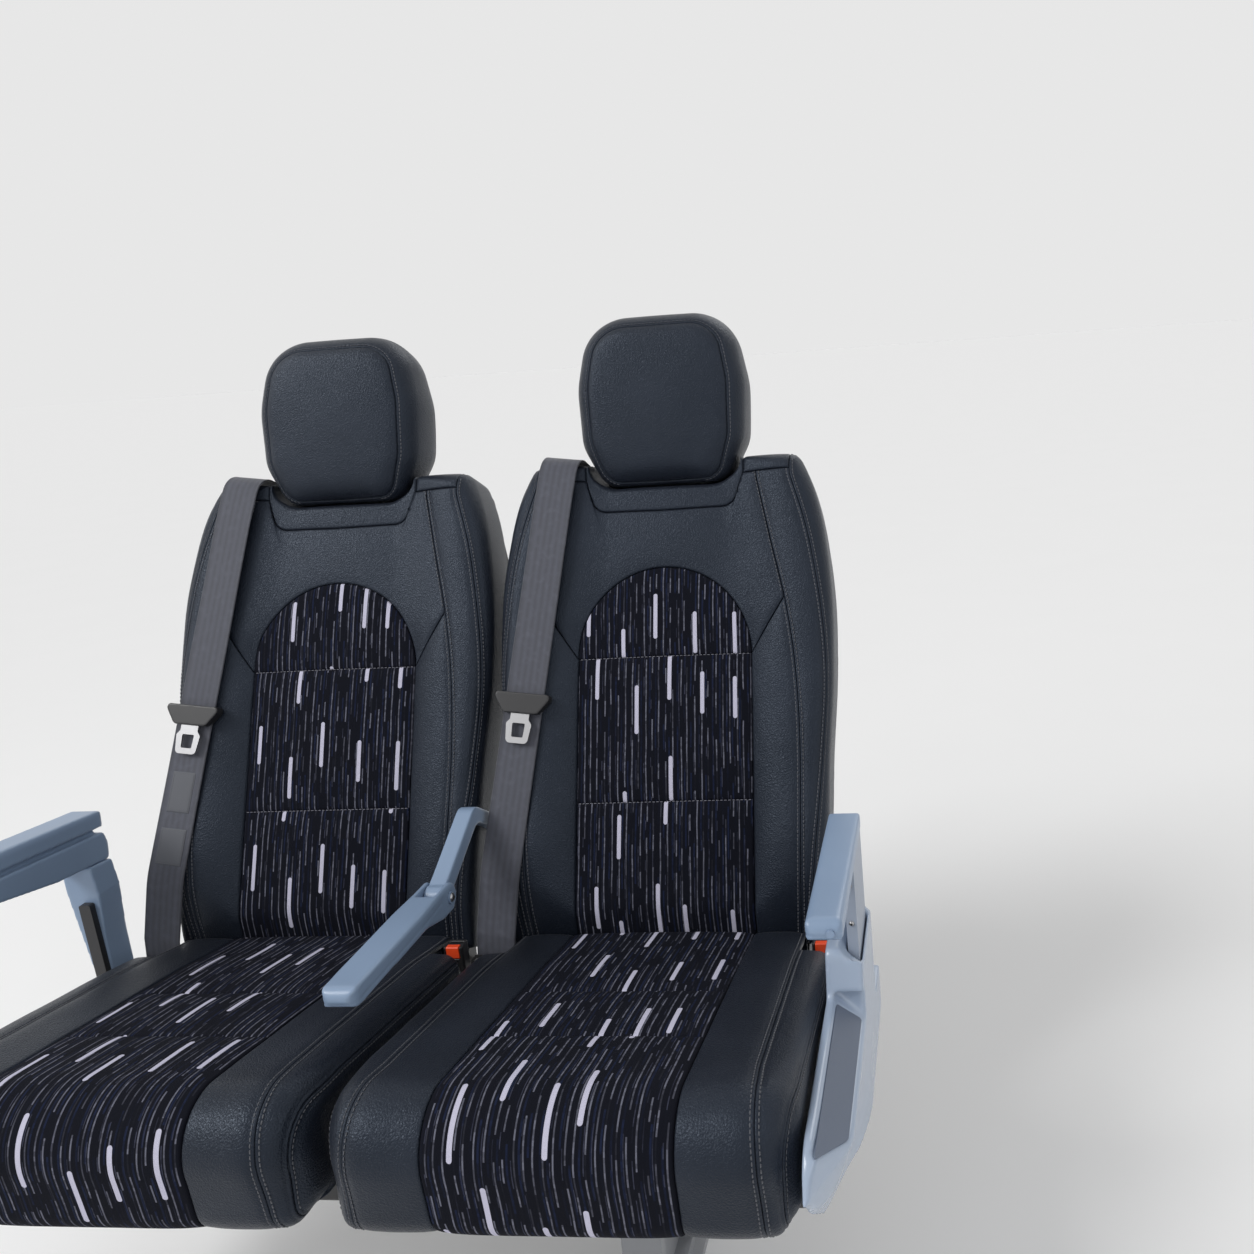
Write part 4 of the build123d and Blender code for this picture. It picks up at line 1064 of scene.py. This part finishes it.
def head_leather():
    """Closed headrest cover: front panel, gusset all round, plain rear."""
    skin = Skin()
    count, front_r, rear_r = 90, 34.0, 40.0
    outline, seam = ring_of(HEAD_LINE, count), ring_of(HEAD_SEAM, count)
    rings, dips = [], []

    def face(points, radius, front):
        """Ring on the front or rear face, crowned, and rounded over near the outline."""
        near = np.clip(1 - np.linalg.norm(outline - points, axis=1) / radius, 0, 1)
        off = radius * (1 - np.sqrt(1 - near * near))
        far = np.linalg.norm((points - HEAD_HEART) / [120, 128], axis=1)
        crown = 5 * np.maximum(1 - far ** 2, 0)
        x, z = points.T
        return np.stack([x, HEAD_FRONT(z) + off - crown if front else HEAD_REAR(z) - off + crown * .6, z], -1)

    for way in HEAD_WAYS[::-1]:
        share = max(1 - way / HEAD_REACH, .004)
        rings.append(face(HEAD_HEART + (seam - HEAD_HEART) * share, front_r, True))
        dips.append(sewn(way, (3.2, 3.0, 0)) - 2.5 * (1 - np.exp(-way / 16)))
    for t in (.03, .07, .12, .19, .28, .4, .52, .64, .75, .85, .92, .97, 1):
        rings.append(face(seam + (outline - seam) * t, front_r, True))
        dips.append(sewn(t * 27, (3.2, 3.0, 4.2)) - 1.5 * (1 - np.exp(-t * 27 / 12)))
    last, first_rear = rings[-1], face(outline, rear_r, False)
    for t in (.12, .3, .5, .7, .88):
        rings.append(last + (first_rear - last) * t)
        dips.append(-1.5 - .8 * sin(pi * t))
    for t in (1, .98, .95, .91, .86, .8, .72, .62, .5, .38, .26, .14, .004):
        rings.append(face(HEAD_HEART + (outline - HEAD_HEART) * t, rear_r, False))
        dips.append(-1.5 * t)
    lattice = np.array(rings)
    out = normals(lattice, np.array([0, 50.0, 125.0]), closed=True)
    lattice = lattice - out * np.array(dips)[:, None, None] + out * .3 * ripple(lattice, 24)[..., None]
    skin.add(lattice, grid_faces(*lattice.shape[:2], True))
    for ring in (lattice[0], lattice[-1]):
        skin.add(ring, [[0, k, k + 1] for k in range(1, len(ring) - 1)])
    sewn_row, keep = len(HEAD_WAYS) + 3, slice(14, 2 * count - 16)
    stitches(skin, lattice[sewn_row][keep], out[sewn_row][keep], lift=.3)
    return skin.moved(head_place)


# Belts

BELT_X, BELT_Z, BELT_LEAN = -186.0, 330.0, radians(7.1)
BELT_FRONT = -23.4
BELT_TOP = SHOULDER_Z + 10
BUCKLE_SHIFT = np.array([0, -6, -30])
HEM = 2.2


def belt_place(points):
    """From the belt's straight frame to the upright back's."""
    x, y, z = np.moveaxis(points, -1, 0)
    x, z = swung(x, z - BELT_Z, -BELT_LEAN)
    return np.stack([BELT_X + x, y, BELT_Z + z], -1)


def belt_webbing():
    """Flat woven strap over the shoulder and down to its anchor, its edges bound a little thicker."""
    skin = Skin()
    line = rounded([(BACK_DEPTH + 12, BELT_TOP), (BELT_FRONT + 4, BELT_TOP), (BELT_FRONT, BELT_TOP - 70),
                    (BELT_FRONT, 78), (-6, -4), (10, -40)], [30, 60, 150, 20], 3)
    line = along(line, np.linspace(0, 1, 240))
    ahead, way = np.gradient(line, axis=0), lengths(line)
    out = unit(np.stack([-ahead[:, 1], ahead[:, 0]], -1))
    outward = np.array([0, 5, 10, 15, 20, 24, 25.4, 26.6, 27]) / 27
    bound = np.array([.8, .8, .8, .8, .8, .9, 1.0, .8, .35])
    across = np.concatenate([-outward[:0:-1], outward]) * settings()[1].strap_width / MM / 2
    thick = np.concatenate([bound[:0:-1], bound])
    sheets = []
    for face in (1, -1):
        lift = thick * face + .5 * np.outer(np.sin(way / 47), np.sin(across / 30))
        sheets.append(np.stack([np.broadcast_to(across, lift.shape),
                                *(line[:, k, None] + out[:, k, None] * lift for k in (0, 1))], -1))
    skin.slab(*sheets, np.stack(np.broadcast_arrays(across, way[:, None]), -1))
    return skin.moved(belt_place)


def belt_patches():
    """Two blank sewn patches low on a strap."""
    skin = Skin()
    for low, high, half in ((170.0, 226.0, 17.0), (98.0, 148.0, 19.0)):
        x, z = (a + (b - a) * spaced(b - a, 4.0, (0, .4, 1.2)) for a, b in ((-half, half), (low, high)))
        x, z = np.meshgrid(x, z)
        edge = np.minimum(half - np.abs(x), np.minimum(z - low, high - z))
        lift = .75 * (1 - np.exp(-edge / .5)) - .35 * np.exp(-((edge - HEM) / .6) ** 2)
        skin.slab(np.stack([x, BELT_FRONT - 1.0 - lift, z], -1),
                  np.stack([x, np.full(x.shape, BELT_FRONT - .6), z], -1))
        left, right, foot, head = HEM - half, half - HEM, low + HEM, high - HEM
        ring = [*((left, at) for at in np.arange(foot, head, 2)),
                *((at, head) for at in np.arange(left, right, 2)),
                *((right, at) for at in np.arange(head, foot, -2)),
                *((at, foot) for at in np.arange(right, left, -2))]
        line = np.array([(across, BELT_FRONT - 1.4, up) for across, up in ring])
        stitches(skin, line, np.broadcast_to([0.0, -1.0, 0.0], line.shape), 3.4, 2.4, .3)
    return skin.moved(belt_place)


# Armrests and side cover, in mm: the centre armrest's middle, the stub's direction and pivot, the middle
# of the cover's slot, its inner face, and the height above which its shape is held
CENTRE_X = -256.5
STUB_AXIS, STUB_PIVOT = np.array([0, .954, .3]), np.array([-260, 83, 504])
WALL_X, COVER_X, COVER_HELD = 266.5, 236, 396.0


# Settings

class CoachSeatTints(bpy.types.PropertyGroup):
    """Colours of the seat's finishes."""
    # Default leather colour: black with a blue tint that is painted sky light.
    leather: bpy.props.FloatVectorProperty(name="Leather", description="Colour of the leather cover",
                                           subtype="COLOR", default=(.0078, .0105, .0175), min=0, max=1)
    dash: bpy.props.FloatVectorProperty(name="Dashes", description="Colour of the bold dashes in the cloth",
                                        subtype="COLOR", default=(.56, .55, .68), min=0, max=1)
    # Default armrest colour is partly painted light: a grey plastic tinted blue by painted sky light.
    armrest: bpy.props.FloatVectorProperty(name="Armrests", description="Colour of the armrest mouldings",
                                           subtype="COLOR", default=(.225, .31, .445), min=0, max=1)
    cover: bpy.props.FloatVectorProperty(name="Side cover", description="Colour of the aisle side cover",
                                         subtype="COLOR", default=(.335, .41, .53), min=0, max=1)
    button: bpy.props.FloatVectorProperty(name="Buckle button", description="Colour of the release buttons",
                                          subtype="COLOR", default=(.8, .07, .015), min=0, max=1)
    floor: bpy.props.FloatVectorProperty(name="Floor", description="Colour of the studio floor",
                                         subtype="COLOR", default=(.9, .9, .9), min=0, max=1)


class CoachSeatSizes(bpy.types.PropertyGroup):
    """Sizes that shape the dressing, in metres."""
    moulding_voxel: bpy.props.FloatProperty(name="Moulding grid", description="Mesh width of the mouldings",
                                            default=.0019, min=.001, max=.004, unit="LENGTH")
    stitch_pitch: bpy.props.FloatProperty(name="Stitch pitch", description="Distance from stitch to stitch",
                                          default=.0054, min=.003, max=.012, unit="LENGTH")
    strap_width: bpy.props.FloatProperty(name="Strap width", description="Width of the belt webbing",
                                         default=.054, min=.04, max=.06, unit="LENGTH")


def settings():
    return bpy.context.scene.coach_seat_tints, bpy.context.scene.coach_seat_sizes


FINISHES = {}


def finish(name):
    """A finish by its plain name, made once."""
    tints = settings()[0]
    makers = {
        "leather": lambda: leather(tints),
        "cloth": lambda: cloth(tints),
        "webbing": webbing_finish,
        "thread": lambda: thread("thread_black", (.09, .095, .115)),
        "grey_thread": lambda: thread("thread_grey", (.2, .2, .25)),
        "patch": lambda: plastic("patch_weave", (.1, .105, .12), .7, 1400, .0003),
        "armrest": lambda: plastic("armrest_moulding", tuple(tints.armrest), .34, coat=.15),
        "cover": lambda: plastic("cover_moulding", tuple(tints.cover), .24, coat=.4),
        "insert": lambda: plastic("insert_moulding", (.12, .148, .205), .5, 700, .0003),
        "upright": lambda: plastic("upright_moulding", (.3, .345, .425), .4),
        "shell": lambda: plastic("shell_moulding", (.035, .036, .04), .55, 520, .0005),
        "black": lambda: plastic("black_moulding", (.016, .016, .018), .38),
        "button": lambda: plastic("button_moulding", tuple(tints.button), .35, coat=.2),
        "frame": lambda: painted("frame_coat", (.02, .02, .022), .45),
        "leg": lambda: painted("leg_coat", (.3, .31, .33), .42),
        "steel": steel,
        "floor": lambda: floor_finish(tuple(tints.floor)),
    }
    if name not in FINISHES:
        FINISHES[name] = makers[name]()
    return FINISHES[name]


def dress(name, *nodes):
    """Gives CAD nodes that stay a new finish."""
    for node in nodes:
        mesh = NODES[node].data
        mesh.materials.clear()
        mesh.materials.append(finish(name))


# Camera, fitted to the photograph: focal length and principal point in its pixels, place in metres
FOCAL, IMAGE, CENTRE = 1141.0, 1254.0, (816.2, 605.5)
YAW, PITCH, ROLL = radians(6.891), radians(13.39), radians(-4.197)
CAMERA_AT = (.392, -1.148, 1.149)

# Stage: suns by name, place, spread in degrees and strength; the world's strength as light and as seen
SUNS = (("key", (-2.6, -1.8, 3.0), 25, 1.15), ("fill", (2.2, -2.0, 1.6), 40, .3),
        ("rear", (.9, 2.6, 2.3), 30, .5))
SOFTBOX_AT, SOFTBOX_AIM, SOFTBOX_POWER = (-2.3, -1.3, 2.3), (-.2, .1, .6), 16
WORLD_LIGHT, WORLD_SEEN = .5, .8
FLOOR_REACH, FLOOR_GAP = 80.0, .0005


def lamp(name, kind, at, aim=(0, 0, 0)):
    """Light of a kind, turned toward what it lights."""
    light = bpy.data.lights.new(name, kind)
    thing = linked(name, light)
    thing.location = at
    thing.rotation_euler = (Vector(aim) - Vector(at)).to_track_quat("-Z", "Y").to_euler()
    return light


def upholster(part, hide, cover, cover_finishes, place, body, node, drift):
    """Leather and cloth of both cushions or backs. drift moves the cloth's print on from seat to seat."""
    for name, seat_x in SEATS.items():
        there = lambda points: place(points, seat_x)
        piece = hide.build(f"{part}_leather_{name}", ("leather", "thread"), there)
        settled(piece, body.format(name), node + name)
        field = cover.build(f"{part}_cloth_{name}", cover_finishes, there, (0, -seat_x * MM * drift))
        settled(field, body.format(name))


# Operators

class SEAT_OT_camera(bpy.types.Operator):
    """Camera at the photograph's viewing angle"""
    bl_idname = "coach_seat.camera"
    bl_label = "Camera"

    def execute(self, context):
        ahead = np.array([-sin(YAW) * cos(PITCH), cos(YAW) * cos(PITCH), -sin(PITCH)])
        right = np.array([cos(YAW), sin(YAW), 0])
        up = np.cross(right, ahead)
        right, up = swung(right, up, -ROLL)
        lens = bpy.data.cameras.new("camera")
        lens.sensor_width = 36
        lens.lens = FOCAL / IMAGE * lens.sensor_width
        lens.shift_x = (IMAGE / 2 - CENTRE[0]) / IMAGE
        lens.shift_y = (CENTRE[1] - IMAGE / 2) / IMAGE
        camera = linked("camera", lens)
        axes = np.stack([right, up, -ahead], 1)
        camera.matrix_world = Matrix([[*row, at] for row, at in zip(axes, CAMERA_AT)] + [[0, 0, 0, 1]])
        context.scene.camera = camera
        return {"FINISHED"}


class SEAT_OT_stage(bpy.types.Operator):
    """Pale floor, white surroundings and soft lamps"""
    bl_idname = "coach_seat.stage"
    bl_label = "Stage"

    def execute(self, context):
        mesh = bpy.data.meshes.new("floor")
        low = CAD_BOX[0][2] - FLOOR_GAP
        corners = [(x * FLOOR_REACH, y * FLOOR_REACH, low) for x, y in ((-1, -1), (1, -1), (1, 1), (-1, 1))]
        mesh.from_pydata(corners, [], [(0, 1, 2, 3)])
        mesh.materials.append(finish("floor"))
        linked("floor", mesh)
        world = bpy.data.worlds.new("studio")
        context.scene.world = world
        world.use_nodes = True
        tree = world.node_tree
        back = tree.nodes["Background"]
        back.inputs["Color"].default_value = (1, 1, 1, 1)
        rays = tree.nodes.new("ShaderNodeLightPath")
        seen = rays.outputs["Is Camera Ray"]
        for other in ("Is Glossy Ray", "Is Transmission Ray"):
            either = tree.nodes.new("ShaderNodeMath")
            either.operation = "MAXIMUM"
            tree.links.new(seen, either.inputs[0])
            tree.links.new(rays.outputs[other], either.inputs[1])
            seen = either.outputs[0]
        level = tree.nodes.new("ShaderNodeMapRange")
        tree.links.new(seen, level.inputs[0])
        level.inputs["To Min"].default_value = WORLD_LIGHT
        level.inputs["To Max"].default_value = WORLD_SEEN
        tree.links.new(level.outputs[0], back.inputs["Strength"])
        box = lamp("softbox", "AREA", SOFTBOX_AT, SOFTBOX_AIM)
        box.shape, box.size, box.size_y, box.energy = "RECTANGLE", 1.7, .8, SOFTBOX_POWER
        for name, at, spread, strength in SUNS:
            sun = lamp(name, "SUN", at)
            sun.angle, sun.energy = radians(spread), strength
        context.scene.view_settings.view_transform = "Standard"
        return {"FINISHED"}


class SEAT_OT_cushions(bpy.types.Operator):
    """Leather and striped cloth of both seat cushions"""
    bl_idname = "coach_seat.cushions"
    bl_label = "Cushions"

    def execute(self, context):
        upholster("cushion", cushion_leather(), cushion_cloth(), ("cloth",), seated,
                  "seat_frame", "cushion_", .7)
        return {"FINISHED"}


class SEAT_OT_backs(bpy.types.Operator):
    """Leather and arched cloth field of both seat backs"""
    bl_idname = "coach_seat.backs"
    bl_label = "Seat backs"

    def execute(self, context):
        upholster("back", back_leather(), back_cloth(), ("cloth", "grey_thread"), leaned,
                  "back_{}", "back_pad_", .45)
        return {"FINISHED"}


class SEAT_OT_headrests(bpy.types.Operator):
    """Leather headrests with a seamed front panel"""
    bl_idname = "coach_seat.headrests"
    bl_label = "Headrests"

    def execute(self, context):
        skin = head_leather()
        for name, seat_x in SEATS.items():
            piece = skin.build("headrest_leather_" + name, ("leather", "thread"),
                               lambda points: leaned(points, seat_x))
            settled(piece, "headrest_body_" + name, "headrest_" + name)
            dress("steel", "headrest_posts_" + name)
        return {"FINISHED"}


class SEAT_OT_belts(bpy.types.Operator):
    """Shoulder webbing, tongues, guides, anchors and buckles"""
    bl_idname = "coach_seat.belts"
    bl_label = "Belts"

    def execute(self, context):
        skin = belt_webbing()
        for name, seat_x in SEATS.items():
            back = "back_" + name
            strap = skin.build("strap_" + name, ("webbing",), lambda points: leaned(points, seat_x))
            settled(strap, back, "webbing_" + name)
            moulded("grip_" + name, "tongue_body_" + name, "black", back, SMALL_VOXEL)
            for part, node, colour, slot, voxel in (
                    ("buckle_housing_", "buckle_", "black", "black_plastic", SMALL_VOXEL),
                    ("buckle_release_", "buckle_button_", "button", "red_button", BUTTON_VOXEL)):
                moulded(part + name, node + name, colour, "seat_frame", voxel,
                        reshape=lambda points: points + BUCKLE_SHIFT)
            dress("frame", "buckle_stalk_" + name)
            dress("black", "belt_guide_" + name, "belt_anchor_" + name)
            dress("steel", "tongue_" + name)
        patches = belt_patches().build("strap_patches", ("patch", "thread"),
                                       lambda points: leaned(points, SEATS["window"]))
        settled(patches, "back_window")
        return {"FINISHED"}


class SEAT_OT_armrests(bpy.types.Operator):
    """Centre, aisle and window armrests"""
    bl_idname = "coach_seat.armrests"
    bl_label = "Armrests"

    def execute(self, context):
        voxel = settings()[1].moulding_voxel / MM

        def centre_lip(points, out):
            """Parting line a little above the lower edge, along the sides and round the front."""
            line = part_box("centre_armrest")[1][2] / MM - 16
            groove = -.8 * np.exp(-((points[:, 2] - line) / .9) ** 2)
            return groove * (points[:, 1] < 60) * (np.abs(out[:, 2]) < .6)

        def pad_lip(points, out):
            """Parting line just above the pad's foot."""
            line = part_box("aisle_pad")[0][2] / MM + 6
            return -.9 * np.exp(-((points[:, 2] - line) / .9) ** 2) * (np.abs(out[:, 2]) < .7)

        def widened(points):
            """The centre armrest grows wider toward its front."""
            share = 1 + .14 * np.clip((60 - points[:, 1]) / 50, 0, 1)
            x = CENTRE_X + (points[:, 0] - CENTRE_X) * share
            return np.stack([x, points[:, 1], points[:, 2]], -1)

        def shortened(points):
            """The stub is shorter beyond its bend."""
            way = (points - STUB_PIVOT) @ STUB_AXIS
            return points - np.outer(np.maximum(way - 25, 0) * .28, STUB_AXIS)

        for name, node, body, carve, reshape in (
                ("centre_rest", "centre_armrest", "armrest_centre", centre_lip, widened),
                ("stub", "armrest_stub", "back_window", None, shortened),
                ("aisle_pad", "aisle_pad", "armrest_aisle", pad_lip, None),
                ("window_pad", "window_pad", "seat_frame", None, None),
                ("window_body", "window_body", "seat_frame", None, None),
                ("window_bracket", "window_bracket", "seat_frame", None, None)):
            moulded(name + "_moulding", node, "armrest", body, voxel, 3, carve, reshape)
        for name, body, radius, places in (
                ("upright_screws", "armrest_aisle", 2.6,
                 [facing(WALL_X, 2.7, z, (0, -1, 0)) for z in (452, 506, 552)]),
                ("pivot_screw", "armrest_centre", 4.6, [facing(-235.2, 83, 504, (1, 0, 0))])):
            skin = Skin()
            for place in places:
                screw(skin, place, radius)
            settled(skin.build(name, ("steel", "black")), body)
        dress("armrest", "centre_pin", "aisle_button")
        dress("upright", "aisle_upright")
        dress("black", "window_strip")
        return {"FINISHED"}


class SEAT_OT_side_cover(bpy.types.Operator):
    """Aisle side cover and its dark inlay"""
    bl_idname = "coach_seat.side_cover"
    bl_label = "Side cover"

    def execute(self, context):
        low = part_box("side_cover")[0][2] / MM

        def swept(points):
            """Lower front corner swept up, outer front corner rounded, skirt tucked in, slot eased."""
            x, y, z = points.T
            wall = x - WALL_X
            slot = (np.abs(wall) < 8.8) & (y > 0) & (y < 114) & (z > 285)
            front = (np.abs(wall) < 7) & (y > -4) & (y < 6) & (z > 285)
            x, y = x + slot * np.sign(wall) * 1.1, y - 3 * front
            outward = np.clip((x - COVER_X) / 42, 0, 1)
            foot = np.clip(386 - (.9 - .42 * outward) * (y + 296), low, 386)
            corner = np.clip((-190 - y) / 105, 0, 1)
            skirt = np.clip((COVER_HELD - z) / (COVER_HELD - low), 0, 1) * smoothed(-y, 5, 155)
            share = (.42 + .58 * np.sqrt(1 - corner * corner)) * (1 - .48 * skirt)
            lifted = foot + (z - low) * (COVER_HELD - foot) / (COVER_HELD - low)
            return np.stack([COVER_X + (x - COVER_X) * share, y, np.where(z < COVER_HELD, lifted, z)], -1)
        moulded("side_cover_moulding", "side_cover", "cover", "seat_frame", COVER_VOXEL, 1,
                reshape=swept, after=3)
        dress("insert", "cover_insert")
        return {"FINISHED"}


class SEAT_OT_frame(bpy.types.Operator):
    """Finishes of the steel frame, pedestal, wall bracket and rear shells"""
    bl_idname = "coach_seat.frame"
    bl_label = "Frame"

    def execute(self, context):
        dress("frame", "front_tube", "rear_tube", "side_arms", "wall_bracket")
        dress("steel", "pivot_pins")
        dress("leg", "pedestal_leg", "floor_foot")
        for name in SEATS:
            dress("frame", "pan_" + name, "back_hoop_" + name)
            dress("shell", "back_shell_" + name)
        return {"FINISHED"}


class SEAT_PT_panel(bpy.types.Panel):
    """Lists the seat's operators in the sidebar"""
    bl_idname = "SEAT_PT_panel"
    bl_label = "Coach Seat"
    bl_space_type = "VIEW_3D"
    bl_region_type = "UI"
    bl_category = "Coach Seat"

    def draw(self, context):
        for group in (context.scene.coach_seat_tints, context.scene.coach_seat_sizes):
            for key in group.bl_rna.properties.keys():
                if key not in ("rna_type", "name"):
                    self.layout.prop(group, key)
        for operator in OPERATORS:
            self.layout.operator(operator.bl_idname)


OPERATORS = (SEAT_OT_camera, SEAT_OT_stage, SEAT_OT_cushions, SEAT_OT_backs, SEAT_OT_headrests, SEAT_OT_belts,
             SEAT_OT_armrests, SEAT_OT_side_cover, SEAT_OT_frame)
CLASSES = (CoachSeatTints, CoachSeatSizes, *OPERATORS, SEAT_PT_panel)


def register():
    for cls in CLASSES:
        bpy.utils.register_class(cls)
    bpy.types.Scene.coach_seat_tints = bpy.props.PointerProperty(type=CoachSeatTints)
    bpy.types.Scene.coach_seat_sizes = bpy.props.PointerProperty(type=CoachSeatSizes)


def unregister():
    del bpy.types.Scene.coach_seat_sizes
    del bpy.types.Scene.coach_seat_tints
    for cls in reversed(CLASSES):
        bpy.utils.unregister_class(cls)


def main():
    register()
    for operator in OPERATORS:
        group, name = operator.bl_idname.split(".")
        getattr(getattr(bpy.ops, group), name)()


if __name__ == "__main__":
    main()
